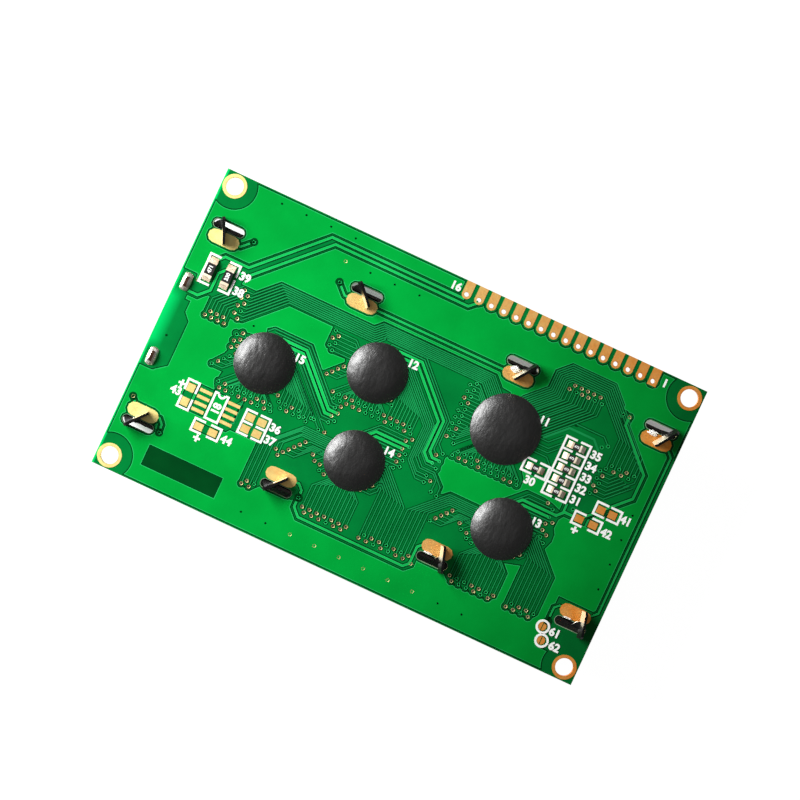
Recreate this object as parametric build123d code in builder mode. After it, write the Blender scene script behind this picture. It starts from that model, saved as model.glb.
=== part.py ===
from build123d import *

import os
from math import atan2, copysign, cos, degrees, radians, sin, sqrt, tan

# Character display module, 20 columns by 4 rows.
# It lies on the flat front of its steel bezel, component side up, origin at the middle of that face.
# +X runs along the long side towards pin 1 and +Y towards the row of header holes.

# Circuit board
board_length = 98.0
board_width = 60.0
board_thickness = 1.6
mount_inset = 2.5
mount_hole_radius = 1.75
mount_ring_radius = 2.3
copper = 0.05
disc_sides = 10

# Header row
pin_count = 16
pin_pitch = 2.54
pin_hole_radius = 0.5
pin_pad_width = 1.75
pin_one_inset = 10.0
pin_row_inset = 2.5

# Stamped steel bezel
sheet = 0.5
bezel_end_gap = 0.5
bezel_width = 40.0
bezel_height = 9.6
bend_radius = 0.8
corner_relief = 1.2
window_end = 10.0
window_side = 6.75
window_corner = 1.0

# Twisted lock tabs and the slots they come through
inner_tab_column = 15.95
outer_tab_inset = 4.3
tab_root_width = 2.6
tab_root_shift = 1.5
tab_clearance = 0.1
tab_twist_height = 1.1
tab_head_height = 2.3
tab_head_long = 3.3
tab_head_short = 1.8
tab_head_corner = 0.4
tab_root_depth = 0.5
tab_twist_steps = 4
tab_twist_lap = 0.05
tab_draw = 0.02
slot_length = 6.2
slot_play = 1.2
tab_pad_length = 6.14
tab_pad_width = 2.57
tab_pad_gap = 0.16

# Display cell
polariser_thickness = 0.2
glass_thickness = 1.1
glass_clearance = 1.0
glass_ledge = 3.2
cell_gap = 0.05
seal_width = 1.2
contact_strip_width = 2.0
contact_strip_end = 4.0
contact_strip_shift = 0.35

# Backlight
diffuser_thickness = 1.0
backlight_end = 1.0
frame_wall = 1.4
frame_ledge = 1.0
led_board_thickness = 0.8
led_board_drop = 0.6
led_board_clearance = 0.1
led_columns = 10
led_rows = 2
led_size = (1.6, 0.8, 0.6)
led_row_inset = 7.9
lead_width = 2.0
lead_thickness = 0.5
lead_inset = 1.85
lead_rows = (7.7, -7.5)
lead_foot = 3.4
lead_above = 0.8
lead_play = 0.2
joint_length = 3.6
joint_width = 1.9
joint_height = 0.55
joint_top_share = 0.6

# Potted chips: place and radius, with one rise for all
drop_rise = 1.75
drop_levels = [share * drop_rise for share in (0, 0.5, 0.85, 0.98)]
drop_sides = 28
controller_drop = ((18.0, 7.9), 6.65)
driver_drops = (
    ((-7.9, 7.3), 5.7),
    ((25.15, -9.15), 5.8),
    ((-4.95, -9.25), 5.7),
    ((-27.65, 0.1), 5.75),
)

# Chip resistors: body length, width, height and the length of one metal end
large_chip = (3.2, 1.6, 0.55, 0.5)
small_chip = (2.0, 1.25, 0.5, 0.4)
large_chip_places = ((-44.1, 11.65), (-40.6, 11.65))
divider_column = 31.35
divider_first_row = 1.35
divider_pitch = 2.27
divider_count = 5
lone_chip_place = (26.05, 3.65)
solder_reach = 0.75
solder_rise = 0.8

# Clearances in the copper
edge_gap = 0.45
mount_keep_out = 4.4
track_gap = 0.5
pad_gap = 0.4
via_gap = 0.8
edge_lane_inset = 0.95
smallest_pour = 2.0

# Levels, from the face that the module lies on
board_front = bezel_height
board_top = board_front + board_thickness
copper_top = board_top + copper
polariser_front = sheet
front_glass_front = polariser_front + polariser_thickness
seal_front = front_glass_front + glass_thickness
rear_glass_front = seal_front + cell_gap
rear_polariser_front = rear_glass_front + glass_thickness
diffuser_front = rear_polariser_front + polariser_thickness
frame_front = diffuser_front + diffuser_thickness
led_board_back = board_front - led_board_drop
led_board_front = led_board_back - led_board_thickness

# Places that follow from the sizes
half_board = board_length / 2
half_width = board_width / 2
mount_x = half_board - mount_inset
mount_y = half_width - mount_inset
pin_one_x = half_board - pin_one_inset
pin_row_y = half_width - pin_row_inset
pin_columns = [pin_one_x - pin_pitch * i for i in range(pin_count)]
bezel_length = board_length - 2 * bezel_end_gap
window_length = bezel_length - 2 * window_end
window_width = bezel_width - 2 * window_side
tab_columns = (inner_tab_column, bezel_length / 2 - outer_tab_inset)
slot_width = sheet + slot_play
slot_row = bezel_width / 2
tab_row = bezel_width / 2 - sheet / 2
tab_pad_row = slot_row - slot_width / 2 - tab_pad_gap - tab_pad_width / 2
inside_length = bezel_length - 2 * sheet
inside_width = bezel_width - 2 * sheet
glass_length = inside_length - 2 * glass_clearance
front_glass_width = inside_width - 2 * glass_clearance
rear_glass_width = front_glass_width - 2 * glass_ledge
backlight_length = glass_length - 2 * backlight_end
strip_row = (rear_glass_width + front_glass_width) / 4 + contact_strip_shift
lead_x = -(half_board - lead_inset)
left_side = -half_board
edge_lane = half_board - edge_lane_inset
frame_inside_length = backlight_length - 2 * frame_wall
frame_inside_width = rear_glass_width - 2 * frame_wall
led_row_pitch = frame_inside_width - 2 * led_row_inset

# Each tab: end of the board, column, side, turn of its head in degrees, shift and lean of the head
tab_settings = (
    (-1, tab_columns[1], 1, 66, 0.45, 0.3),
    (-1, tab_columns[0], 1, 48, 0.5, 0.5),
    (1, tab_columns[0], 1, 54, 0.35, 0.5),
    (1, tab_columns[1], 1, 55, 0.0, 0.7),
    (-1, tab_columns[1], -1, 50, 0.4, 0.2),
    (-1, tab_columns[0], -1, 48, 0.5, 0.2),
    (1, tab_columns[0], -1, 72, 0.0, 0.6),
    (1, tab_columns[1], -1, 77, -0.3, 0.7),
)

# Free pads: centre, length and width
capacitor_pads = (
    ((40.38, 1.74), 1.6, 1.4),
    ((42.7, 1.74), 1.6, 1.4),
    ((37.38, -1.43), 1.65, 1.35),
    ((40.2, -1.43), 1.65, 1.35),
    ((-38.1, -9.78), 1.55, 1.55),
    ((-38.1, -12.58), 1.55, 1.6),
    ((-33.8, -15.7), 1.75, 1.35),
    ((-30.95, -15.7), 1.7, 1.35),
)
resistor_pads = [((x, y), 1.7, 1.4) for x in (-25.8, -23.45) for y in (-10.15, -12.45)]
flat_pack_rows = [-9.3 - 1.27 * i for i in range(4)]
flat_pack_columns = (-35.2, -29.5)
flat_pack_pad = (2.45, 0.62)
link_places = ((39.6, -22.35), (40.45, -24.8))
link_radius = 0.78
link_gap = 0.16

# Rows of plated holes that the copper keeps clear of
via_pitch = 0.745
chain_bottom = -21.9
via_bays = (
    [(x, -21.9) for x in (-22.15, -20.65)]
    + [(20.7 + 2 * via_pitch * i, chain_bottom) for i in range(6)]
    + [(31.85 + 2.06 * via_pitch * i, chain_bottom) for i in range(4)]
    + [(-41.5 + 1.3 * i, 3.6) for i in range(4)]
    + [(37.9, 19.6), (-35.75, 5.45), (-36.5, -4.05), (-35.75, -3.2)]
    + [(-34.8, 2.9), (-34.7, 1.5), (-34.65, 0.2), (-33.7, 3.5), (-34.0, -6.5)]
    + [(-17.4, 7.65), (-18.2, 8.3), (-18.2, 9.8), (-18.2, 11.15)]
)
controller_bay_row = -0.65
controller_bays = [(11.1 + 1.31 * i, controller_bay_row) for i in range(11)]
controller_side_bays = [(9.4, -1.2), (9.4, -2.7), (9.4, -4.2)]
controller_bay_gap = 0.9

# Bare area in the middle of the copper, anticlockwise from the bus beside the header tracks
bare_field = [
    (left_side + 4.0, 14.6),
    (left_side + 4.0, 8.9),
    (left_side + 2.9, 8.9),
    (left_side + 2.9, 9.95),
    (left_side, 9.95),
    (left_side, -9.8),
    (left_side + 2.9, -9.8),
    (left_side + 3.4, -9.4),
    (left_side + 5.35, -7.9),
    (left_side + 5.35, 1.1),
    (left_side + 4.05, 2.5),
    (left_side + 4.05, 4.75),
    (left_side + 3.05, 4.75),
    (left_side + 3.05, 5.5),
    (-43.95, 5.5),
    (-42.55, 7.0),
    (-42.1, 7.0),
    (-42.1, 3.3),
    (-36.9, 3.3),
    (-36.9, 4.9),
    (-35.9, 4.8),
    (-34.5, 5.0),
    (-27.9, 11.6),
    (-19.0, 11.6),
    (-19.0, 8.2),
    (-17.4, 6.95),
    (-14.5, 7.1),
    (-14.3, 6.6),
    (-17.2, 3.6),
    (-17.5, 3.6),
    (-20.85, 7.15),
    (-28.6, 7.15),
    (-29.9, 6.2),
    (-29.5, 4.5),
    (-34.6, 3.6),
    (-35.0, -0.6),
    (-35.2, -1.2),
    (-37.2, -3.8),
    (-36.6, -4.7),
    (-34.2, -4.7),
    (-34.6, -7.2),
    (-34.0, -8.2),
    (-33.8, -8.2),
    (-33.8, -8.55),
    (-30.75, -8.55),
    (-30.75, -13.85),
    (-30.4, -14.6),
    (-28.8, -14.6),
    (-28.2, -13.85),
    (-22.85, -13.85),
    (-22.85, -21.5),
    (-22.2, -22.2),
    (-19.9, -22.2),
    (-18.7, -20.85),
    (-12.6, -20.85),
    (-12.15, -20.6),
    (-12.15, -22.1),
    (-10.3, -23.95),
    (11.9, -23.95),
    (13.35, -22.6),
    (13.35, -20.85),
    (18.4, -20.85),
    (20.0, -22.2),
    (28.6, -22.2),
    (29.7, -21.3),
    (29.7, -16.15),
    (28.3, -14.75),
    (31.2, -13.9),
    (31.2, -22.2),
    (37.0, -22.2),
    (38.0, -20.9),
    (38.0, -13.2),
    (34.0, -9.2),
    (34.6, -7.5),
    (34.5, -6.0),
    (33.9, -5.0),
    (34.0, -3.2),
    (34.6, -2.3),
    (38.85, -2.3),
    (38.85, -0.55),
    (40.0, 0.6),
    (41.55, 0.6),
    (41.55, 1.7),
    (42.95, 3.1),
    (45.65, 5.8),
    (45.65, 11.2),
    (38.6, 18.25),
    (38.6, 19.6),
    (37.2, 20.5),
    (36.3, 20.6),
    (36.2, 21.3),
    (33.2, 24.3),
    (24.2, 24.3),
    (21.75, 21.85),
    (21.75, 18.45),
    (18.2, 14.9),
    (17.8, 13.8),
    (16.3, 13.8),
    (16.0, 14.5),
    (14.3, 14.65),
    (12.4, 16.55),
    (-10.8, 16.55),
    (-12.2, 15.15),
    (-31.15, 15.15),
    (-34.7, 11.6),
    (-37.6, 11.6),
    (-37.6, 12.1),
    (-36.5, 12.95),
    (-38.2, 14.6),
]

# Copper island between the controller and the lower right driver
island = [
    (10.15, -1.25),
    (24.8, -1.25),
    (25.1, -0.9),
    (25.1, 0.7),
    (24.0, 2.2),
    (28.9, 2.2),
    (28.9, 0.0),
    (33.35, 0.0),
    (33.35, -1.45),
    (31.8, -0.9),
    (30.0, -0.55),
    (26.35, -0.55),
    (23.5, -3.4),
    (21.0, -5.6),
    (20.2, -6.85),
    (13.65, -6.85),
    (12.4, -8.0),
    (12.15, -8.0),
    (12.1, -6.7),
    (10.15, -4.9),
]

# Bare place beside the two solder links, down to the keep-out of the corner hole
link_field = [(40.0, -15.95), (40.0, -26.2), (half_board, -26.2), (half_board, -15.95)]

# Bare plate and pockets round the free pads, each by two corners
bare_boxes = (
    ((-40.55, -26.6), (-25.6, -22.5)),
    ((-39.1, -13.6), (-37.1, -8.8)),
    ((-36.7, -13.9), (-33.8, -8.3)),
    ((-34.95, -16.6), (-29.85, -14.8)),
)

# Wide tracks: their points and width
supply_width = 0.48
link_width = 0.4
pair_width = 0.5
wide_tracks = (
    ([(pin_columns[15], pin_row_y - 0.95), (-26.1, 26.55), (-37.75, 14.9), (-42.5, 14.9), (-43.9, 13.5)], 0.48),
    ([(pin_columns[14], pin_row_y - 0.65), (2.1, 25.6), (-25.0, 25.6), (-37.35, 13.25), (-40.6, 13.25)], 0.48),
    ([(lead_x + joint_width / 2, 6.3), (-44.25, 6.3), (-42.45, 8.1), (-42.45, 11.6), (-41.0, 13.05)], 0.5),
    ([(-42.4, 17.7), (-40.8, 17.75), (-38.9, 19.6)], link_width),
    ([(-18.0, 17.7), (-19.5, 17.75), (-21.4, 19.6)], link_width),
    ([(-14.0, 17.75), (14.0, 17.75)], link_width),
    ([(edge_lane - 1.85, 17.8), (edge_lane, 15.95), (edge_lane, -15.85), (edge_lane - 1.55, -17.4)], 0.35),
    ([(-42.3, -17.35), (-40.9, -17.4), (-40.1, -18.3), (-39.95, -19.8)], link_width),
    ([(-47.15, -15.7), (-46.0, -17.0)], link_width),
    (
        [
            (-14.0, -17.45),
            (-12.4, -17.45),
            (-11.45, -18.4),
            (-11.45, -21.7),
            (-10.0, -23.15),
            (11.4, -23.15),
            (12.35, -22.2),
            (12.35, -18.8),
            (14.0, -17.15),
        ],
        0.45,
    ),
    ([(41.9, -17.3), (40.9, -17.5), (40.1, -18.3), (40.1, -21.7)], 0.35),
    ([(37.9, 19.6), (37.85, 17.95), (44.85, 10.95), (44.85, 6.1), (41.0, 2.25)], supply_width),
    ([(39.9, 1.1), (38.0, -0.8)], link_width),
    ([(37.2, -1.45), (34.45, -1.45), (33.25, -2.65), (26.4, -2.65), (24.9, -4.15)], pair_width),
    ([(34.2, -1.6), (34.2, 0.2)], link_width),
    ([(32.2, -3.5), (26.8, -3.5), (26.0, -4.3)], pair_width),
    ([(3.2, -2.65), (-3.5, -2.65), (-5.0, -4.15)], pair_width),
    ([(2.1, -3.5), (-3.2, -3.5), (-4.0, -4.3)], pair_width),
    ([(-6.0, 12.6), (-1.2, 12.6), (7.0, 4.4), (7.0, -1.7), (7.95, -2.65), (9.4, -2.65)], pair_width),
    ([(-5.0, 11.75), (-1.7, 11.75), (6.15, 3.9), (6.15, -2.35), (7.3, -3.5), (8.4, -3.5)], pair_width),
    ([(-26.5, 5.55), (-21.5, 5.55), (-13.3, -2.65), (-11.4, -2.65)], 0.55),
    ([(-25.0, 4.7), (-21.85, 4.7), (-13.65, -3.5), (-12.3, -3.5)], 0.55),
)


def ribbon(points, width):
    """Outline of a track of this width along the points, with mitred corners."""
    path = [Vector(*point) for point in points]
    left, right = [], []
    for i, point in enumerate(path):
        after = (path[min(i + 1, len(path) - 1)] - path[min(i, len(path) - 2)]).normalized()
        before = (path[max(i, 1)] - path[max(i - 1, 0)]).normalized()
        along = (before + after).normalized()
        reach = width / 2 / along.dot(after)
        side = Vector(-along.Y, along.X) * reach
        left.append(point + side)
        right.append(point - side)
    return [(p.X, p.Y) for p in left + right[::-1]]


def disc(radius, mode=Mode.ADD):
    """Flat disc of few sides, for the round outlines that repeat dozens of times."""
    RegularPolygon(radius, disc_sides, major_radius=False, mode=mode)


def lozenge(length, width, mode=Mode.ADD):
    """Obround pad whose ends have as few sides as the discs."""
    reach = (length - width) / 2
    turns = [radians(360 / disc_sides * i - 90) for i in range(disc_sides // 2 + 1)]
    end = [(reach + width / 2 * cos(turn), width / 2 * sin(turn)) for turn in turns]
    Polygon(*end, *[(-x, -y) for x, y in end], mode=mode)


def slots(reach=0.0):
    """The slots for the lock tabs, or that shape grown by a reach."""
    for side in (-1, 1):
        for end in (-1, 1):
            for column in tab_columns:
                yield (end * column, side * slot_row), slot_length + 2 * reach, slot_width + 2 * reach


def plate(centre_x, centre_y, length, width, low, high, mode=Mode.ADD):
    """Box given by its middle, its plan size and two levels, in the part being built."""
    with Locations((centre_x, centre_y, low)):
        Box(length, width, high - low, align=(Align.CENTER, Align.CENTER, Align.MIN), mode=mode)


def write(piece, name):
    """Label a finished piece and write its file."""
    piece.part.label = name
    export_step(piece.part, f"parts/{name}.step")


os.makedirs("parts", exist_ok=True)

# Circuit board
with BuildPart() as circuit_board:
    with BuildSketch(Plane.XY.offset(board_front)):
        Rectangle(board_length, board_width)
        with GridLocations(2 * mount_x, 2 * mount_y, 2, 2):
            Circle(mount_hole_radius, mode=Mode.SUBTRACT)
        with Locations([(x, pin_row_y) for x in pin_columns]):
            Circle(pin_hole_radius, mode=Mode.SUBTRACT)
        for place, length, width in slots():
            with Locations(place):
                SlotOverall(length, width, mode=Mode.SUBTRACT)
        with Locations([(lead_x, y) for y in lead_rows]):
            Rectangle(lead_thickness + 2 * lead_play, lead_width + 2 * lead_play, mode=Mode.SUBTRACT)
    extrude(amount=board_thickness)
write(circuit_board, "circuit_board")

# Plated rings of the mounting holes
with BuildPart() as mounting_hole_rings:
    with BuildSketch(Plane.XY.offset(board_top)):
        with GridLocations(2 * mount_x, 2 * mount_y, 2, 2):
            Circle(mount_ring_radius)
            Circle(mount_hole_radius, mode=Mode.SUBTRACT)
    extrude(amount=copper)
write(mounting_hole_rings, "mounting_hole_rings")

# Header pads, round at the hole and open to the board's edge, square at pin 1
with BuildPart() as header_pads:
    with BuildSketch(Plane.XY.offset(board_top)):
        for i, x in enumerate(pin_columns):
            with Locations((x, (pin_row_y + half_width) / 2)):
                Rectangle(pin_pad_width, half_width - pin_row_y)
            with Locations((x, pin_row_y)):
                if i == 0:
                    Rectangle(pin_pad_width, pin_pad_width)
                else:
                    disc(pin_pad_width / 2)
                disc(pin_hole_radius, mode=Mode.SUBTRACT)
    extrude(amount=copper)
write(header_pads, "header_pads")

# Pads that the turned tabs lie across
with BuildPart() as tab_pads:
    with BuildSketch(Plane.XY.offset(board_top)):
        for column in tab_columns:
            with GridLocations(2 * column, 2 * tab_pad_row, 2, 2):
                lozenge(tab_pad_length, tab_pad_width)
    extrude(amount=copper)
write(tab_pads, "tab_pads")

# Bare pads for parts that are not fitted
with BuildPart() as component_pads:
    with BuildSketch(Plane.XY.offset(board_top)):
        for place, length, width in [*capacitor_pads, *resistor_pads]:
            with Locations(place):
                Rectangle(length, width)
        with Locations([(x, y) for x in flat_pack_columns for y in flat_pack_rows]):
            Rectangle(*flat_pack_pad)
        with Locations(link_places):
            disc(link_radius)
            Rectangle(link_gap, 3 * link_radius, mode=Mode.SUBTRACT)
    extrude(amount=copper)
write(component_pads, "component_pads")


def solder_lands():
    """Places of the solder at both ends of every chip resistor, with the side it is on."""
    for x, y in large_chip_places:
        for end in (-1, 1):
            yield (x, y + end * large_chip[0] / 2), large_chip, 90 * end
    for x, y in chip_places:
        for end in (-1, 1):
            yield (x + end * small_chip[0] / 2, y), small_chip, 90 - 90 * end


chip_places = [(divider_column, divider_first_row + divider_pitch * i) for i in range(divider_count)]
chip_places.append(lone_chip_place)

# Sheet of copper under the solder mask, with every bare area cut out of it
with BuildPart() as ground_pour:
    with BuildSketch(Plane.XY.offset(board_top)) as pour:
        Rectangle(board_length - 2 * edge_gap, board_width - 2 * edge_gap)
        Polygon(*bare_field, mode=Mode.SUBTRACT)
        Polygon(*link_field, mode=Mode.SUBTRACT)
        Polygon(*island)
        with GridLocations(2 * mount_x, 2 * mount_y, 2, 2):
            Circle(mount_keep_out, mode=Mode.SUBTRACT)
        for x in pin_columns:
            with Locations((x, (pin_row_y + half_width) / 2)):
                Rectangle(pin_pitch, half_width - pin_row_y, mode=Mode.SUBTRACT)
        with Locations([(x, pin_row_y) for x in pin_columns]):
            disc(pin_pad_width / 2 + track_gap, mode=Mode.SUBTRACT)
        for place, length, width in slots(pad_gap):
            with Locations(place):
                lozenge(length, width, mode=Mode.SUBTRACT)
        for column in tab_columns:
            with GridLocations(2 * column, 2 * tab_pad_row, 2, 2):
                lozenge(tab_pad_length + 2 * pad_gap, tab_pad_width + 2 * pad_gap, mode=Mode.SUBTRACT)
        for low, high in bare_boxes:
            with Locations(((low[0] + high[0]) / 2, (low[1] + high[1]) / 2)):
                Rectangle(high[0] - low[0], high[1] - low[1], mode=Mode.SUBTRACT)
        for place, length, width in capacitor_pads:
            with Locations(place):
                Rectangle(length + pad_gap, width + pad_gap, mode=Mode.SUBTRACT)
        with Locations(link_places):
            disc(link_radius + pad_gap, mode=Mode.SUBTRACT)
        for points, width in wide_tracks:
            Polygon(*ribbon(points, width + 2 * track_gap), mode=Mode.SUBTRACT)
        with Locations(via_bays):
            disc(via_gap, mode=Mode.SUBTRACT)
        with Locations(controller_bays + controller_side_bays):
            disc(controller_bay_gap, mode=Mode.SUBTRACT)
        with Locations([(lead_x, y) for y in lead_rows]):
            Rectangle(joint_width + 2 * pad_gap, joint_length + 2 * pad_gap, mode=Mode.SUBTRACT)
    extrude([face for face in pour.sketch.faces() if face.area > smallest_pour], amount=copper)
write(ground_pour, "ground_pour")

# Two leads from the backlight, up through the board, with their solder
lead_foot_thickness = led_board_drop - lead_play
with BuildPart() as backlight_leads:
    for y in lead_rows:
        plate(lead_x, y, lead_thickness, lead_width, led_board_back, copper_top + lead_above)
        plate(
            lead_x + lead_foot / 2,
            y,
            lead_foot,
            lead_width,
            led_board_back,
            led_board_back + lead_foot_thickness,
        )
write(backlight_leads, "backlight_leads")

with BuildPart() as backlight_solder:
    for y in lead_rows:
        with BuildSketch(Plane((lead_x, y, board_top))):
            Rectangle(joint_width, joint_length)
        with BuildSketch(Plane((lead_x, y, copper_top + joint_height))):
            Rectangle(joint_width * joint_top_share, joint_length * joint_top_share)
        loft()
    add(backlight_leads.part, mode=Mode.SUBTRACT)
write(backlight_solder, "backlight_solder")

# Wide tracks, ending at the pads they feed
with BuildPart() as supply_tracks:
    with BuildSketch(Plane.XY.offset(board_top)):
        for points, width in wide_tracks:
            Polygon(*ribbon(points, width))
    extrude(amount=copper)
    add(header_pads.part, mode=Mode.SUBTRACT)
    add(tab_pads.part, mode=Mode.SUBTRACT)
    add(component_pads.part, mode=Mode.SUBTRACT)
    add(backlight_solder.part, mode=Mode.SUBTRACT)
write(supply_tracks, "supply_tracks")


def cap_radius(radius, level):
    """Plan radius of a drop at a level above its foot, if it were cut from a sphere."""
    sphere = (radius**2 + drop_rise**2) / (2 * drop_rise)
    return sqrt(sphere**2 - (sphere - drop_rise + level) ** 2)


def chip_drop(centre, radius, name):
    """Drop of epoxy over a bare chip, in rings of flat facets, standing on the mask."""
    with BuildPart() as drop:
        for low, high in zip(drop_levels, drop_levels[1:]):
            foot, head = cap_radius(radius, low), cap_radius(radius, high)
            with BuildSketch(Plane.XY.offset(copper_top + low)):
                with Locations(centre):
                    RegularPolygon(foot, drop_sides, major_radius=False)
            extrude(amount=high - low, taper=degrees(atan2(foot - head, high - low)))
    write(drop, name)


chip_drop(*controller_drop, "controller_chip_drop")
for number, (centre, radius) in enumerate(driver_drops, 1):
    chip_drop(centre, radius, f"driver_chip_drop_{number}")


def chip_blocks(places, size, turned, ends):
    """Bodies of chip resistors, or their metal ends, in the part being built."""
    length, width, height, end = size
    for x, y in places:
        spans = [(0.0, length - 2 * end)]
        if ends:
            spans = [(side * (length - end) / 2, end) for side in (-1, 1)]
        for shift, span in spans:
            if turned:
                plate(x, y + shift, width, span, copper_top, copper_top + height)
            else:
                plate(x + shift, y, span, width, copper_top, copper_top + height)


with BuildPart() as resistor_bodies:
    chip_blocks(large_chip_places, large_chip, True, False)
    chip_blocks(chip_places, small_chip, False, False)
write(resistor_bodies, "resistor_bodies")

with BuildPart() as resistor_ends:
    chip_blocks(large_chip_places, large_chip, True, True)
    chip_blocks(chip_places, small_chip, False, True)
write(resistor_ends, "resistor_ends")

# Solder fillets, one wedge against each metal end
with BuildPart() as resistor_solder:
    for place, size, turn in solder_lands():
        outward = (cos(radians(turn)), sin(radians(turn)), 0)
        across = (outward[1], -outward[0], 0)
        with BuildSketch(Plane((*place, copper_top), x_dir=outward, z_dir=across)):
            with BuildLine():
                Polyline((0, 0), (0, size[2] * solder_rise), (solder_reach, 0), close=True)
            make_face()
        extrude(amount=size[1] / 2, both=True)
write(resistor_solder, "resistor_solder")


def faceted_strip(sections):
    """Strip of flat facets through four-cornered sections, each turned further than the last."""
    outlines = [sections[0], sections[-1]]
    for low, high in zip(sections, sections[1:]):
        for i in range(4):
            outlines.append((low[i - 1], low[i], high[i]))
            outlines.append((low[i - 1], high[i], high[i - 1]))
    return Solid(Shell([Face(Wire.make_polygon(outline)) for outline in outlines]))


def lock_tab(end, column, side, turn, shift, lean):
    """One tab: its root in the wall, the twist above the board and the head that holds it."""
    root_x = end * (column + tab_root_shift)
    head_x = root_x - end * shift
    twist_low = board_top + tab_clearance
    head_along = Vector(-end * cos(radians(turn)), -side * sin(radians(turn)))
    lean_way = Vector(head_along.Y, -head_along.X)
    lean_way *= copysign(lean, lean_way.X)
    sections = []
    for step in range(tab_twist_steps + 1):
        share = step / tab_twist_steps
        angle = radians(turn * share)
        along = Vector(-end * cos(angle), -side * sin(angle))
        across = Vector(along.Y, -along.X)
        level = twist_low - tab_twist_lap + tab_twist_height * share
        middle = Vector(root_x + (head_x - root_x) * share, side * tab_row, level)
        middle += lean_way * (level - twist_low) / tab_head_height
        reach = along * (tab_root_width - tab_draw) / 2
        wall = across * (sheet - tab_draw) / 2
        sections.append([middle + reach + wall, middle - reach + wall, middle - reach - wall, middle + reach - wall])
    with BuildPart() as tab:
        plate(root_x, side * tab_row, tab_root_width, sheet, bezel_height - tab_root_depth, twist_low - tab_draw)
        add(faceted_strip(sections))
        upward = Vector(lean_way.X, lean_way.Y, tab_head_height)
        head_plane = Plane((head_x, side * tab_row, twist_low), x_dir=head_along, z_dir=head_along.cross(upward))
        lean_angle = atan2(lean, tab_head_height)
        head_low = sheet / 2 * tan(lean_angle)
        head_high = tab_head_height / cos(lean_angle) - head_low
        with BuildSketch(head_plane.offset(-sheet / 2)) as head:
            with Locations(((tab_head_long - tab_head_short) / 2, (head_low + head_high) / 2)):
                Rectangle(tab_head_long + tab_head_short, head_high - head_low)
            chamfer(head.vertices().group_by(Axis.Y)[-1], tab_head_corner)
        extrude(amount=sheet)
    return tab.part


# Inside of the bezel
with BuildPart() as bezel_hollow:
    plate(0, 0, inside_length, inside_width, sheet, bezel_height)
    fillet(bezel_hollow.faces().sort_by(Axis.Z)[0].edges(), bend_radius - sheet)

# Bezel: a folded steel tray with open corners, a window and eight twisted tabs
with BuildPart() as bezel:
    plate(0, 0, bezel_length, bezel_width, 0, bezel_height)
    fillet(bezel.faces().sort_by(Axis.Z)[0].edges(), bend_radius)
    add(bezel_hollow.part, mode=Mode.SUBTRACT)
    with BuildSketch():
        RectangleRounded(window_length, window_width, window_corner)
    extrude(amount=sheet, mode=Mode.SUBTRACT)
    with BuildSketch(Plane.XY.offset(bend_radius)):
        with GridLocations(bezel_length, bezel_width, 2, 2):
            Rectangle(2 * corner_relief, 2 * corner_relief)
    extrude(amount=bezel_height, mode=Mode.SUBTRACT)
    for settings in tab_settings:
        add(lock_tab(*settings))
write(bezel, "bezel")

# Display cell, from the window inwards
with BuildPart() as front_polariser:
    plate(0, 0, glass_length, rear_glass_width, polariser_front, front_glass_front)
write(front_polariser, "front_polariser")

with BuildPart() as front_glass:
    plate(0, 0, glass_length, front_glass_width, front_glass_front, seal_front)
write(front_glass, "front_glass")

with BuildPart() as cell_seal:
    with BuildSketch(Plane.XY.offset(seal_front)):
        Rectangle(glass_length, rear_glass_width)
        Rectangle(glass_length - 2 * seal_width, rear_glass_width - 2 * seal_width, mode=Mode.SUBTRACT)
    extrude(amount=cell_gap)
write(cell_seal, "cell_seal")

with BuildPart() as rear_glass:
    plate(0, 0, glass_length, rear_glass_width, rear_glass_front, rear_polariser_front)
write(rear_glass, "rear_glass")

with BuildPart() as rear_polariser:
    plate(0, 0, backlight_length, rear_glass_width, rear_polariser_front, diffuser_front)
write(rear_polariser, "rear_polariser")

# Rubber contact strips from the board's front to the ledges of the front glass
strip_length = glass_length - 2 * contact_strip_end
for side, name in ((1, "upper_contact_strip"), (-1, "lower_contact_strip")):
    with BuildPart() as contact_strip:
        plate(0, side * strip_row, strip_length, contact_strip_width, seal_front, board_front)
    write(contact_strip, name)

# Backlight: diffuser, white frame, and the board with its lights
with BuildPart() as diffuser:
    plate(0, 0, backlight_length, rear_glass_width, diffuser_front, frame_front)
write(diffuser, "diffuser")

with BuildPart() as backlight_frame:
    plate(0, 0, backlight_length, rear_glass_width, frame_front, board_front)
    with BuildSketch(Plane.XY.offset(frame_front)):
        Rectangle(frame_inside_length - 2 * frame_ledge, frame_inside_width - 2 * frame_ledge)
    extrude(amount=board_front - frame_front, mode=Mode.SUBTRACT)
    with BuildSketch(Plane.XY.offset(led_board_front)):
        Rectangle(frame_inside_length, frame_inside_width)
    extrude(amount=board_front - led_board_front, mode=Mode.SUBTRACT)
    with BuildSketch(Plane.XY.offset(led_board_back)):
        with Locations([(-backlight_length / 2, y) for y in lead_rows]):
            Rectangle(2 * frame_wall + lead_play, lead_width + 2 * lead_play)
    extrude(amount=led_board_drop, mode=Mode.SUBTRACT)
write(backlight_frame, "backlight_frame")

with BuildPart() as led_board:
    plate(
        0,
        0,
        frame_inside_length - 2 * led_board_clearance,
        frame_inside_width - 2 * led_board_clearance,
        led_board_front,
        led_board_back,
    )
write(led_board, "led_board")

with BuildPart() as led_chips:
    with BuildSketch(Plane.XY.offset(led_board_front - led_size[2])):
        with GridLocations(frame_inside_length / led_columns, led_row_pitch, led_columns, led_rows):
            Rectangle(led_size[0], led_size[1])
    extrude(amount=led_size[2])
write(led_chips, "led_chips")
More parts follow.
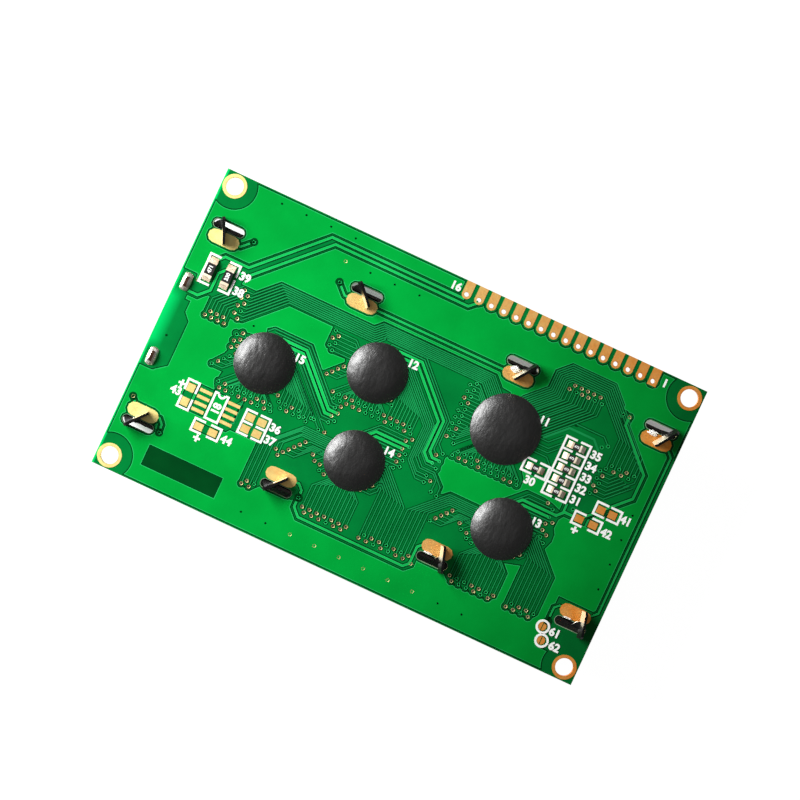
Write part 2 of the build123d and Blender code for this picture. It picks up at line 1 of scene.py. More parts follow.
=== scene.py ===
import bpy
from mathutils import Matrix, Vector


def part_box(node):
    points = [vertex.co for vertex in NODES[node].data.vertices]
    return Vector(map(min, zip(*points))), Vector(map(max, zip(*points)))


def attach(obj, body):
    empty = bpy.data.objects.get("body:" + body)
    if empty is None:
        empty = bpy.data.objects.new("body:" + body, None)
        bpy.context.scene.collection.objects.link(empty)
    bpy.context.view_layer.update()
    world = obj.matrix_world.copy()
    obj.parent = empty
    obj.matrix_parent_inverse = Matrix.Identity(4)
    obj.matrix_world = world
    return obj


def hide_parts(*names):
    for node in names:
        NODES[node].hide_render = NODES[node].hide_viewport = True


bl_info = {
    "name": "Character Display Module",
    "version": (1, 0, 0),
    "blender": (4, 5, 0),
    "location": "3D View > Sidebar > Display Module",
    "description": "Finishes and fine detail for a character display module, component side up",
    "category": "Object",
}

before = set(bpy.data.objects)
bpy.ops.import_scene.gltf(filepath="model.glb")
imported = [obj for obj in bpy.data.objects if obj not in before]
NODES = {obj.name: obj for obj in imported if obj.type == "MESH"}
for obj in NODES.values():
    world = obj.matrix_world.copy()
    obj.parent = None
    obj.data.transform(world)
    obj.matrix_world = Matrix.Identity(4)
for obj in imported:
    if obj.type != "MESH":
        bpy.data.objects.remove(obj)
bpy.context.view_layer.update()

import math

import bmesh
import bpy
from bpy.props import FloatProperty, FloatVectorProperty, IntProperty, PointerProperty
from mathutils import Matrix, Vector, noise

MM = 0.001
BOARD_LOW, BOARD_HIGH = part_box("circuit_board")
COPPER_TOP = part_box("ground_pour")[1].z


def linear(hex_colour):
    """Linear colour with alpha from an sRGB hex colour."""
    channels = [int(hex_colour[i:i + 2], 16) / 255 for i in (1, 3, 5)]
    return (*(c / 12.92 if c <= 0.04045 else ((c + 0.055) / 1.055) ** 2.4 for c in channels), 1.0)


# Potted chips: place and radius in millimetres, x towards pin 1 and y towards the header row
CHIPS = {
    "controller_chip_drop": (18.0, 7.9, 6.65),
    "driver_chip_drop_1": (-7.9, 7.3, 5.7),
    "driver_chip_drop_2": (25.15, -9.15, 5.8),
    "driver_chip_drop_3": (-4.95, -9.25, 5.7),
    "driver_chip_drop_4": (-27.65, 0.1, 5.75),
}
CONTROLLER, DRIVER_1, DRIVER_2, DRIVER_3, DRIVER_4 = CHIPS.values()


def row(first, pitch, count, level):
    """Places along one line of the board."""
    return [(first + pitch * i, level) for i in range(count)]


def zigzag(start, pitch, count, near, far):
    """Heights down a staggered pair of columns."""
    return [((near, far)[i % 2], start - pitch * i) for i in range(count)]


# Holes in the copper field that the mask closes: they show as dark dots of painted shade
CLOSED_HOLES = [
    (-37.2, 28.25), (-32.2, 28.25), (-27.15, 28.25), (-22.1, 28.2), (-16.95, 23.55), (-11.95, 23.5),
    (-6.95, 23.6), (-20, -26.7), (-15, -26.7), (20.2, -26.7), (25.1, -26.7), (46.1, 3.3), (46.1, -1.7),
    (46.1, -6.7), (46.1, -11.75), (-32.4, 5.5), (-46.4, -2.85), (40.1, -20.3),
]

# Holes without a route whose ring the mask covers
END_HOLES = [
    (3.2, -2.7), (9.4, -2.7), (8.35, -3.55), (32.2, -3.5), (33.2, -2.65), (36.6, 13.0), (35.6, 12.35),
    (35.6, -0.3), (-38.9, 19.6), (-21.35, 19.6), (-39.9, -19.8), (-11.45, -19.85),
]

# Holes without a route whose gilt ring is bare
OPEN_HOLES = [
    (-22.0, 23.55), (-10, -26.7), (-5, -26.7), (0, -26.7), (5, -26.7), (10, -26.7), (15, -26.7),
    (-47.15, -15.7), (-45.4, 8.9), (12.6, -22.15), (-11.4, -2.65), (-12.3, -3.5), (2.15, -3.5), (37.9, 19.6),
]

# Holes that have a dark collar, at the ends of short wide tracks
TRACK_END_HOLES = [
    (-38.9, 19.6), (-21.4, 19.6), (-39.95, -19.8), (40.1, -21.0), (-11.45, -19.85), (-47.15, -15.7),
]

# Fine routes that are drawn point by point; True starts at a hole with a bare ring, False at a covered one,
# and None at no hole
ROUTES = [
    # from the far left driver to the middle
    (True, [(-11.4, -1.25), (-13.1, -1.25), (-21.1, 6.75), (-28.6, 6.75), (-29.6, 5.75)]),
    (False, [(-12.3, -1.85), (-13.3, -1.85), (-21.35, 6.2), (-28.2, 6.2)]),
    (False, [(-11.4, -4.2), (-14.0, -4.2), (-22.2, 4.0), (-24.0, 4.0)]),
    (False, [(-12.35, -4.85), (-14.05, -4.85), (-22.3, 3.4), (-24.0, 3.4)]),
    # past the upper middle driver to the centre of the board
    (False, [(9.4, -1.2), (8.0, 0.2), (8.0, 4.9), (-0.75, 13.65), (-9.6, 13.65)]),
    (True, [(8.35, -1.85), (7.55, -1.05), (7.55, 4.7), (-0.95, 13.2), (-7.6, 13.2), (-8.4, 12.4)]),
    (False, [(9.35, -4.2), (7.3, -4.2), (5.75, -2.65), (5.75, 2.9), (-3.2, 11.85)]),
    (False, [
        (11.6, -8.8), (11.6, -7.1), (9.5, -4.95), (6.9, -4.95), (5.4, -3.45), (5.4, 2.7), (-3.4, 11.5)]),
    (False, [
        (10.35, -8.5), (10.35, -6.3), (9.4, -5.35), (6.6, -5.35), (5.05, -3.8), (5.05, 2.5), (-3.6, 11.15)]),
    (False, [(8.35, -6.1), (6.35, -6.1), (4.7, -4.45), (4.7, 2.35), (-3.7, 10.75)]),
    (True, [(9.4, -6.7), (6.45, -6.7), (4.35, -4.6), (4.35, 2.15), (-3.7, 10.2)]),
    (False, [(8.4, -7.4), (6.6, -7.4), (4.0, -4.8), (4.0, 2.0), (-3.7, 9.7)]),
    # beside the drivers
    (True, [(-3.3, 4.75), (-4.2, 5.65)]),
    (True, [(-3.6, 3.8), (-4.6, 4.8)]),
    (False, [(-3.0, 2.95), (-4.4, 2.95), (-5.2, 3.75)]),
    (True, [(-23.3, -2.45), (-24.4, -1.35)]),
    (True, [(-22.9, -4.25), (-24.0, -4.25), (-25.0, -3.25)]),
    (True, [(0.0, -12.0), (0.55, -11.45), (0.55, -10.9), (-0.5, -9.85)]),
    (True, [(-0.9, -12.9), (0.15, -12.9), (0.95, -12.1), (0.95, -10.75), (-0.2, -9.6)]),
    (True, [(-1.7, -13.7), (0.3, -13.7), (1.35, -12.65), (1.35, -10.65), (0.2, -9.5)]),
    (True, [(30.2, -12.1), (30.75, -11.55), (30.75, -10.7), (29.7, -9.65)]),
    (True, [(29.3, -12.9), (30.35, -12.9), (31.1, -12.15), (31.1, -10.5), (30.0, -9.4)]),
    (True, [(-12.35, -11.45), (-11.0, -10.1), (-9.6, -10.1)]),
    (True, [(-11.6, -12.4), (-9.9, -10.7)]),
    (True, [(-10.45, -12.6), (-9.0, -11.15)]),
    (False, [(-10.1, -13.6), (-8.4, -11.9)]),
    (True, [(-9.0, -13.95), (-7.8, -12.75)]),
    (True, [(17.65, -11.5), (19.3, -9.85), (20.4, -9.85)]),
    (False, [(18.35, -12.4), (20.2, -10.55)]),
    (True, [(19.55, -12.6), (21.0, -11.15)]),
    (False, [(19.95, -13.55), (21.8, -11.7)]),
    (False, [(21.1, -13.95), (22.4, -12.65)]),
    (True, [(30.9, -1.2), (27.1, -1.2), (23.6, -4.7)]),
    (False, [(32.2, -1.9), (27.2, -1.9), (24.4, -4.7)]),
    (True, [(33.2, -4.2), (28.4, -4.2), (27.3, -5.3)]),
    (True, [(32.1, -4.85), (28.8, -4.85), (28.0, -5.65)]),
    (True, [(32.1, -6.15), (29.0, -6.15)]),
    (True, [(33.15, -6.75), (29.5, -6.75)]),
    (False, [(32.3, -7.5), (30.0, -7.5)]),
    (False, [(33.2, -8.35), (32.3, -8.0), (30.2, -8.0)]),
    (True, [(3.15, -1.2), (-3.2, -1.2), (-6.6, -4.6)]),
    (True, [(2.15, -1.9), (-3.3, -1.9), (-6.1, -4.7)]),
    (False, [(3.15, -4.2), (-2.4, -4.2), (-3.5, -5.3)]),
    (True, [(2.15, -4.8), (-2.4, -4.8)]),
    (False, [(3.15, -5.45), (-1.8, -5.45)]),
    (True, [(2.15, -6.1), (-1.2, -6.1)]),
    (False, [(3.15, -6.75), (-0.8, -6.75)]),
    (False, [(2.15, -7.4), (-0.6, -7.4)]),
    (True, [(-13.25, 6.6), (-11.8, 6.6)]),
    (True, [(-14.1, 5.75), (-12.2, 5.75)]),
    (True, [(-14.9, 4.9), (-13.4, 4.9), (-12.2, 6.1)]),
    (True, [(-15.65, 4.0), (-13.7, 4.0), (-11.9, 5.8)]),
    (True, [(-16.4, 3.2), (-14.3, 3.2), (-11.8, 5.7)]),
    # at the divider chips
    (None, [(23.6, 8.0), (26.7, 8.0), (28.5, 9.8)]),
    (None, [(23.8, 7.2), (26.9, 7.2), (28.4, 8.7)]),
    (None, [(23.6, 6.4), (27.1, 6.4), (28.4, 5.1)]),
    (None, [(24.0, 9.1), (26.2, 9.1), (28.3, 11.2)]),
    (None, [(29.6, 14.3), (35.2, 14.3), (36.6, 13.0)]),
    (None, [(34.0, 9.2), (35.7, 9.2), (37.1, 7.8)]),
    (None, [(34.0, 7.0), (35.3, 7.0), (37.0, 5.35)]),
    (None, [(-28.4, -8.2), (-29.2, -9.2)]),
    (None, [(-28.3, -9.0), (-28.3, -12.2), (-29.2, -13.1)]),
]

# Routes twice as wide
MEDIUM_ROUTES = [
    [(25.0, 9.4), (28.7, 13.1), (33.7, 13.1), (35.4, 11.4)],
    [(-28.35, -8.0), (-28.35, -9.0), (-29.0, -9.3)],
    [(-28.2, -9.6), (-28.2, -12.4), (-29.0, -13.1)],
]

# Printed lines: each a row of points in millimetres
LEGEND_LINES = [
    # the two large chips
    [(-45.2, 8.6), (-45.2, 14.6)], [(-39.15, 14.6), (-39.15, 12.2)], [(-39.15, 11.7), (-39.15, 8.6)],
    [(-45.4, 14.4), (-43.1, 14.4)], [(-41.3, 14.4), (-38.95, 14.4)],
    [(-45.4, 8.8), (-43.1, 8.8)], [(-41.3, 8.8), (-38.95, 8.8)],
    # the lone chip
    [(25.8, 4.93), (23.68, 4.93), (23.68, 2.41), (25.8, 2.41)],
    [(26.5, 4.93), (28.47, 4.93), (28.47, 2.41), (26.5, 2.41)],
    # pads without parts
    [(41.5, 2.99), (39.24, 2.99), (39.24, 0.63), (41.5, 0.63)],
    [(41.95, 2.99), (44.19, 2.99), (44.19, 0.63), (41.95, 0.63)],
    [(38.4, -0.28), (36.25, -0.28), (36.25, -2.59), (38.4, -2.59)],
    [(39.6, -0.28), (41.62, -0.28), (41.62, -2.59), (39.6, -2.59)],
    [(-39.09, -10.5), (-39.09, -8.41), (-36.88, -8.41), (-36.88, -10.5)],
    [(-39.09, -11.7), (-39.09, -13.85), (-36.88, -13.85), (-36.88, -11.7)],
    [(-32.8, -14.47), (-34.93, -14.47), (-34.93, -16.79), (-32.8, -16.79)],
    [(-31.75, -14.47), (-29.59, -14.47), (-29.59, -16.79), (-31.75, -16.79)],
    [(-24.8, -8.96), (-26.89, -8.96), (-26.89, -13.54), (-24.8, -13.54)], [(-26.89, -11.25), (-24.8, -11.25)],
    [(-24.17, -8.96), (-22.11, -8.96), (-22.11, -13.54), (-24.17, -13.54)],
    [(-22.11, -11.25), (-24.17, -11.25)],
    [(-31.55, -8.54), (-30.97, -8.54), (-30.97, -13.69), (-33.49, -13.69), (-33.49, -8.54), (-32.85, -8.54)],
]
# the frame round the column of five chips
for column in (28.93, 33.8):
    LEGEND_LINES.append([(column, 0.0), (column, 11.8)])
for level in (0.2, 2.48, 4.75, 7.03, 9.33, 11.6):
    LEGEND_LINES.append([(28.75, level), (31.05, level)])
    LEGEND_LINES.append([(31.75, level), (34.0, level)])
# plus signs
for x, y in ((37.45, -3.65), (-39.93, -9.7), (-33.2, -17.8)):
    LEGEND_LINES.append([(x - 0.68, y), (x + 0.68, y)])
    LEGEND_LINES.append([(x, y + 0.68), (x, y + 0.21)])
    LEGEND_LINES.append([(x, y - 0.21), (x, y - 0.68)])

# Printed arcs: middle, radius, first and last turn in degrees
LEGEND_ARCS = [
    ((39.73, -22.35), 1.14, 0, 360), ((40.6, -24.8), 1.14, 0, 360), ((-32.2, -8.54), 0.62, 180, 360),
]

# Plain numbers beside the parts: text, left end and foot in millimetres, quarter turns
NUMBERS = [
    ("39", -38.65, 12.25, 0), ("38", -38.65, 9.25, 0), ("15", -23.1, 2.9, 0), ("12", -3.6, 10.85, 0),
    ("11", 22.9, 11.6, 0), ("14", -0.85, -5.75, 0), ("13", 29.4, -6.1, 0),
    ("35", 34.3, 9.75, 0), ("34", 34.3, 7.45, 0), ("33", 34.3, 5.2, 0), ("32", 34.3, 2.95, 0),
    ("31", 34.3, 0.65, 0), ("30", 25.0, 0.4, 0), ("41", 44.4, 1.15, 0), ("42", 42.05, -2.5, 0),
    ("43", -41.45, -12.0, 0), ("44", -29.05, -16.6, 0), ("36", -21.75, -10.8, 0), ("37", -21.75, -13.25, 0),
    ("18", -31.5, -12.4, 1), ("61", 41.2, -23.2, 0), ("62", 42.2, -25.6, 0), ("16", -2.55, 27.4, 0),
    ("1", 40.7, 27.4, 0),
]

# Values on the chips: text, middle in millimetres, quarter turns, height in millimetres
CHIP_VALUES = [("471", -44.1, 11.65, 1, 1.0), ("330", -40.6, 11.65, 1, 1.0), ("104", 26.05, 3.65, 0, 0.62)]
CHIP_VALUES += [("473", 31.35, 1.35 + 2.27 * i, 0, 0.62) for i in range(5)]

# Painted highlights beside the tabs, white lumps where the tabs' turned faces glint: middle, length and width
# in millimetres
TAB_GLINTS = [
    (14.95, 18.7, 1.7, 1.05), (43.1, 18.75, 1.8, 0.85), (14.7, -18.98, 1.5, 0.36), (43.1, -18.98, 1.3, 0.34),
]

# Band of painted shade beside a fine track, and the dark collar of a hole, in millimetres
SHADE_BAND_WIDTH = 0.17
COLLAR_RADIUS = 0.8

# Clear dark panel near the lower left corner, in millimetres
PANEL_MIDDLE = (-33.07, -24.53)
PANEL_SIZE = (14.85, 3.95)

# Slots of the lock tabs, in millimetres: half their straight part, radius of the ends, width of the rim
SLOT_MIDDLES = [(x, y) for x in (-15.95, -44.2, 15.95, 44.2) for y in (-20.0, 20.0)]
SLOT_STRAIGHT = 2.25
SLOT_RADIUS = 0.88
SLOT_RIM = 0.1

# Corner holes, and the header that runs from its first pin to the left level with them, in millimetres
MOUNT_HOLE = (46.5, 27.5)
MOUNT_RADIUS = 1.75
PIN_ONE = 39.0
PIN_PITCH = 2.54
PIN_COUNT = 16
PIN_RADIUS = 0.5

# Joint of solder along the end of the board, and the characters and the gaps of their dots, in millimetres
JOINT_LENGTH = 3.6
CHARACTER_PITCH = (3.55, 5.35)
CHARACTER_SIZE = (2.96, 4.75)
DOT_GAP = 0.03

# Threads of the glass cloth and layers of the cut edge in millimetres, and how much of the cloth shows
CLOTH_PITCH = 0.5
GLASS_LAYER = 0.2
CLOTH_SHARE = 0.012

# The wave texture repeats after this many metres at scale 1
WAVE_PERIOD = 0.314

# Points of a route nearer than this, in millimetres, are one
SAME_PLACE = 1e-4

# A mitre is at most twice as long as the ribbon is wide
SHARPEST_MITRE = 0.5

# The top of a hole's ring is this much of its foot
RING_TAPER = 0.94

# Rings of faces from the rim of a drop to its middle
DROP_RINGS = 26

# The white card, and how far it is dark under the bezel and cut out along x and y, in millimetres
FLOOR_SIZE = 3000
SHADOW_REACH = (47.3, 21.5)
CUT_OUT_REACH = (48.2, 19.7)

# The lamps point at the middle of the board
LAMP_AIM = Vector((0, 0, 0.011))

# The camera looks straight down: lens, sensor and place in millimetres, height over the board in metres
# and turn in degrees, all matched to the photograph
CAMERA_LENS = 121.4
CAMERA_SENSOR = 36
CAMERA_SPOT = (-2.01, 4.52)
CAMERA_HEIGHT = 0.5
CAMERA_TURN = 25


def comb(holes, chip, spread, first_bend, bend_slope, turned=0):
    """Routes that leave a row of holes square to it, then turn in by half a right angle under a drop.

    Holes within the spread of the drop's middle run straight in. The row lies below the drop, and
    turned counts the quarter turns anticlockwise from there.
    """
    turn = Matrix.Rotation(math.radians(90 * turned), 2)
    back = turn.inverted()
    middle = back @ Vector(chip[:2])
    for hole in holes:
        x, y = back @ Vector(hole)
        off = x - middle.x
        side = math.copysign(1, off)
        reach = max(0.0, abs(off) - spread)
        points = [Vector((x, y))]
        if reach > 0.2:
            bend = middle.y - chip[2] + first_bend - bend_slope * reach
            bend = max(bend, y + 0.25)
            run = reach + 0.8
            points += [Vector((x, bend)), Vector((x - side * run, bend + run))]
        else:
            points.append(Vector((x, middle.y - chip[2] + 1.6)))
        yield [tuple(turn @ p) for p in points]


def fans():
    """Routes that come in families: whether the hole has a bare ring, and its points."""
    families = [
        # row of holes, which of them are ringed, chip, straight part, bend and its slope, quarter turns
        (row(-34.0, 1.31, 9, -6.5), {1, 6, 7}, DRIVER_4, 2.4, -0.1, 0.45, 0),
        (row(-33.4, 1.31, 9, -7.55), {0, 1, 3, 4, 5, 7}, DRIVER_4, 2.4, -0.1, 0.45, 0),
        (row(-14.0, 1.31, 9, 0.7), {0, 2, 3, 8}, DRIVER_1, 2.4, 0.2, 0.45, 0),
        (row(-13.35, 1.31, 8, -0.35), {2, 3, 4}, DRIVER_1, 2.4, 0.2, 0.45, 0),
        (row(11.8, 1.31, 10, 0.4), {3}, CONTROLLER, 3.0, 0.3, 0.4, 0),
        (row(11.1, 1.31, 11, -0.65), {1, 2, 4, 8, 9}, CONTROLLER, 3.0, 0.3, 0.4, 0),
        (row(-10.1, 1.49, 7, -21.05), set(range(7)), DRIVER_3, 1.9, -0.3, 0.42, 0),
        (row(-9.35, 1.49, 6, -21.9), {0, 1, 2, 4, 5}, DRIVER_3, 1.9, -0.3, 0.42, 0),
        (row(20.05, 1.49, 7, -21.05), {0, 3, 4, 6}, DRIVER_2, 1.9, -0.3, 0.42, 0),
        (row(20.8, 1.49, 6, -21.9), {0, 3, 5}, DRIVER_2, 1.9, -0.3, 0.42, 0),
        (zigzag(13.25, 0.655, 18, 9.65, 8.6), {5, 6, 14, 17}, CONTROLLER, 2.6, -0.2, 0.3, 3),
        ([(10.35, 1.4)], set(), CONTROLLER, 2.6, -0.2, 0.3, 3),
        (zigzag(11.15, 0.72, 6, -18.2, -17.3), {1, 2}, DRIVER_1, 2.6, -0.1, 0.2, 3),
        (zigzag(3.45, 0.65, 6, -33.6, -34.55), {0, 2, 3, 4, 5}, DRIVER_4, 2.6, 0.3, 0.2, 3),
    ]
    for holes, ringed, chip, spread, bend, slope, turned in families:
        routes = comb(holes, chip, spread, bend, slope, turned)
        for i, points in enumerate(routes):
            yield i in ringed, points

    # upper left bundle, from its holes along the board to the controller
    for k in range(8):
        hole = ((-36.67, -35.72)[k % 2], 10.79 - 0.764 * k)
        bus, far = 14.75 - 0.371 * k, 16.1 - 0.33 * k
        shift, turn = -12.0 + 0.21 * k, 12.0 - 0.21 * k
        yield k != 5, [
            hole, (-34.9, hole[1]), (-34.9 + bus - hole[1], bus), (shift, bus),
            (shift + far - bus, far), (turn, far), (turn + 4, far - 4),
        ]
    # and back from the first hole of each pair to the far left
    for k, x in enumerate((-41.5, -40.8, -40.2, -39.5, -38.9, -38.2, -37.6)):
        bend = 7.0 - 0.1 * k
        yield True, [(x, (3.6, 4.6)[k % 2]), (x, bend), (-37.1, bend - 37.1 - x)]

    # far left driver: out to the left below, and to the right towards the middle
    for k in range(5):
        hole = (-33.25 - 0.8 * k, -0.6 - 0.86 * k)
        bend = -33.0 - 0.35 * k
        yield k in (0, 3), [hole, (bend, hole[1]), (bend + 2.4, hole[1] + 2.4)]
    columns = [-22.2, -21.5, -20.9, -20.25, -19.6, -18.9, -18.2, -17.65, -16.9, -16.2, -15.55]
    levels = [-5.25, -6.25] * 4 + [-5.9, -6.5, -5.5]
    for k, (x, level) in enumerate(zip(columns, levels)):
        bend = -2.7 - 0.19 * k
        yield k in (3, 4), [(x, level), (x, bend), (-24.2, bend + x + 24.2)]
    for x, level in ((-14.95, -5.5), (-13.4, -6.85), (-12.2, -6.85)):
        yield x > -13, [(x, level), (x - 1, level + 1), (-24.0, level + 24.0 + x)]

    # upper middle driver, right side: down to the end of the rows below it
    for k in range(9):
        x = -2.85 + 0.655 * k
        bend = 4.8 - 0.2 * k
        yield k in (0, 1, 3, 5, 6), [(x, (-0.35, 0.7)[k % 2]), (x, bend), (-4.2, bend + x + 4.2)]

    # lower drivers, right side: holes below, up and over to the left
    for first, count, chip in ((1.8, 8, DRIVER_3), (31.9, 8, DRIVER_2)):
        for k in range(count):
            x = first + 0.755 * k
            bend = -12.0 - 0.185 * k
            end = chip[0] + chip[2] + 0.2
            yield k % 3 != 1, [
                (x, (-21.9, -21.0)[k % 2]), (x, bend), (end, bend + x - end), (end - 1.3, bend + x - end),
            ]
    # and from the middle of the bottom row over to the right
    for k in range(6):
        x, bend, bus = 7.85 + 0.75 * k, -13.35 + 0.22 * k, -7.45 - 0.36 * k
        yield k not in (0, 3), [(x, (-21.9, -21.0)[k % 2]), (x, bend), (x + bus - bend, bus), (20.6, bus)]
    # bundles at the left of the lower drivers
    for k in range(4):
        x, bus, bend = -22.15 + 0.75 * k, -7.4 - 0.35 * k, -15.95 - 0.1 * k
        yield k < 3, [(x, (-21.9, -21.05)[k % 2]), (x, bus - (bend - x)), (bend, bus), (-9.4, bus)]
    for k in range(2):
        x, bus = -19.05 + 0.75 * k, -8.8 - 0.35 * k
        yield True, [(x, (-13.4, -14.3)[k]), (x, bus + x + 15.7), (-15.7, bus), (-9.4, bus)]
    for left, right in ((-17.6, -9.6), (12.45, 20.4)):
        for k in range(5):
            hole = (left + 0.75 * k, -13.4 + 0.86 * k)
            bus = -10.9 + 0.3 * k
            bend = left + 2.2 + 0.5 * k
            if k == 4:
                bend, bus = hole[0] + 0.4, -9.55
            yield left < 0 or k > 0, [hole, (bend, hole[1]), (bend + bus - hole[1], bus), (right, bus)]

    # top right field: the band round it, and the holes inside it
    ends = (10.0, 9.1)
    for k in range(8):
        d = 0.4 * k
        x = 43.3 - 0.76 * k
        yield k in (2, 3, 5), [
            (x, ends[k % 2]), (x, 57.1 - 1.414 * d - x), (33.1 - 0.414 * d, 24.0 - d),
            (24.4 + 0.414 * d, 24.0 - d), (22.15 + d, 21.75 - 0.414 * d), (22.15 + d, 18.4 - 0.414 * d),
            (17.4 + 0.7 * d, 13.65 - 0.714 * d),
        ]
    columns = (25.6, 26.3, 27.05, 27.65, 28.15, 28.9, 29.45, 30.15, 30.8, 31.5, 32.25)
    for k, x in enumerate(columns):
        bend = 17.45 - 0.02 * k
        end = 20.2 + 0.3 * k
        yield k not in (2, 8, 10), [(x, (19.65, 20.65)[k % 2]), (x, bend), (end, bend - x + end)]
    for k in range(7):
        hole = ((37.15, 37.95)[k % 2], 8.35 - 0.76 * k)
        bend = 39.3 + 0.1 * k
        top = 8.7 - 0.15 * k
        far = bend + top - hole[1]
        yield k in (1, 4, 5), [hole, (bend, hole[1]), (far, top), (far, top + 0.1)]
    yield False, [(36.65, 19.6), (36.65, 18.7), (43.9, 11.45), (43.9, 8.9), (42.3, 7.3)]


def add_piece(name, mesh, slot, *materials):
    """Turn a bmesh into a piece of the module with these finishes; the slot is not used."""
    data = bpy.data.meshes.new(name)
    mesh.to_mesh(data)
    mesh.free()
    piece = bpy.data.objects.new(name, data)
    bpy.context.scene.collection.objects.link(piece)
    for material in materials:
        data.materials.append(material)
    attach(piece, "root")
    return piece


def at(x, y, level):
    """Matrix of a place in millimetres, at a level in metres."""
    return Matrix.Translation((x * MM, y * MM, level))


def add_grid(mesh, middle, size, columns=1, rows=1):
    """Flat grid of this size in millimetres round a middle."""
    width, height = size
    spread = Matrix.Diagonal((width * MM, height * MM, 1, 1))
    bmesh.ops.create_grid(mesh, x_segments=columns, y_segments=rows, size=0.5, matrix=middle @ spread)


def turn_about(mesh, starts, ends, middle, steps):
    """Join pairs of vertices by edges, and turn them once round an upright axis."""
    edges = [mesh.edges.new(pair) for pair in zip(starts, ends)]
    bmesh.ops.spin(
        mesh, geom=starts + edges, cent=middle, axis=(0, 0, 1), angle=math.tau, steps=steps, use_merge=True)


def arc(middle, radius, first, last, steps):
    """Points along an arc, in millimetres, with the turns in degrees."""
    x, y = middle
    turns = [math.radians(first + (last - first) * i / steps) for i in range(steps + 1)]
    return [(x + radius * math.cos(turn), y + radius * math.sin(turn)) for turn in turns]


def face_up(mesh):
    """Turn every face upwards."""
    for face in mesh.faces:
        if face.normal.z < 0:
            face.normal_flip()


def round_off(mesh):
    """Turn all faces outwards and shade them smooth."""
    bmesh.ops.recalc_face_normals(mesh, faces=mesh.faces[:])
    for face in mesh.faces:
        face.smooth = True


def move_into(mesh, part):
    """Add a bmesh to another one, and free it."""
    scratch = bpy.data.meshes.new("scratch")
    part.to_mesh(scratch)
    part.free()
    mesh.from_mesh(scratch)
    bpy.data.meshes.remove(scratch)


def lay_ribbon(mesh, points, width, level):
    """Flat ribbon along points in millimetres, with mitred corners, at a level in metres."""
    path = [Vector(p) for p in points]
    path = [p for i, p in enumerate(path) if i == 0 or (p - path[i - 1]).length > SAME_PLACE]
    edge = None
    for i, point in enumerate(path):
        after = (path[min(i + 1, len(path) - 1)] - path[min(i, len(path) - 2)]).normalized()
        before = (path[max(i, 1)] - path[max(i - 1, 0)]).normalized()
        along = (before + after).normalized()
        side = Vector((-along.y, along.x)) * (width / 2 / max(along.dot(after), SHARPEST_MITRE))
        ends = [Vector((*(point + side), 0)) * MM, Vector((*(point - side), 0)) * MM]
        for end in ends:
            end.z = level
        if edge is None:
            edge = mesh.edges.new([mesh.verts.new(end) for end in ends])
            left = edge.verts[0]
            continue
        grown = bmesh.ops.extrude_edge_only(mesh, edges=[edge])["geom"]
        edge = next(e for e in grown if isinstance(e, bmesh.types.BMEdge))
        fresh = [v for v in grown if isinstance(v, bmesh.types.BMVert)]
        new_left = next(v for v in fresh if any(e.other_vert(v) is left for e in v.link_edges))
        new_right = next(v for v in fresh if v is not new_left)
        new_left.co, new_right.co = ends
        left = new_left


def thicken(mesh, height):
    """Give flat faces a height, upwards, and turn all faces outwards."""
    grown = bmesh.ops.extrude_face_region(mesh, geom=mesh.faces[:])["geom"]
    raised = [v for v in grown if isinstance(v, bmesh.types.BMVert)]
    bmesh.ops.translate(mesh, vec=(0, 0, height), verts=raised)
    bmesh.ops.recalc_face_normals(mesh, faces=mesh.faces[:])


def add_text(mesh, text, x, y, quarter, size, level, height, align="LEFT"):
    """Raised digits in a bmesh, from a place in millimetres; CENTER sets their middle on the place."""
    curve = bpy.data.curves.new(text, "FONT")
    curve.body = text
    curve.size = size
    # a little bolder than the plain font
    curve.offset = 0.045 * size
    curve.extrude = height / 2
    curve.resolution_u = 3
    curve.align_x = align
    if align == "CENTER":
        curve.align_y = "CENTER"
    word = bpy.data.objects.new(text, curve)
    flat = bpy.data.meshes.new_from_object(word)
    flat.transform(at(x, y, level + height / 2) @ Matrix.Rotation(math.radians(90 * quarter), 4, "Z"))
    mesh.from_mesh(flat)
    bpy.data.objects.remove(word)
    bpy.data.curves.remove(curve)
    bpy.data.meshes.remove(flat)


def add_node(tree, kind, inputs, **settings):
    """Add a node with its settings; each input is set, or linked to a socket or to a node's first output."""
    node = tree.nodes.new("ShaderNode" + kind)
    for name, value in settings.items():
        setattr(node, name, value)
    for key, value in inputs.items():
        if isinstance(value, bpy.types.Node):
            value = next(socket for socket in value.outputs if socket.enabled)
        if isinstance(value, bpy.types.NodeSocket):
            tree.links.new(value, node.inputs[key])
        else:
            node.inputs[key].default_value = value
    return node


def new_finish(name):
    """Empty material with its node tree and Object coordinates."""
    material = bpy.data.materials.new(name)
    material.use_nodes = True
    tree = material.node_tree
    tree.nodes.clear()
    return material, tree, add_node(tree, "TexCoord", {}).outputs["Object"]


def speckle(tree, place, size, detail=4.0, stretch=(1, 1, 1)):
    """Noise whose grains measure about this many millimetres."""
    scaled = add_node(tree, "Mapping", {"Vector": place, "Scale": stretch})
    return add_node(tree, "TexNoise", {"Vector": scaled, "Scale": 1 / (size * MM), "Detail": detail})


def threads(tree, place, pitch, way, **levels):
    """Stripes across one axis, this many millimetres apart and a little uneven."""
    inputs = {"Vector": place, "Scale": WAVE_PERIOD / (pitch * MM), **levels}
    return add_node(tree, "TexWave", inputs, bands_direction=way).outputs["Fac"]


def blotched(tree, pattern, low, high, first, second):
    """Colour that passes from one to the other where a pattern rises from low to high."""
    share = add_node(tree, "MapRange", {"Value": pattern, "From Min": low, "From Max": high})
    return add_node(tree, "Mix", {"Factor": share, 6: first, 7: second}, data_type="RGBA")


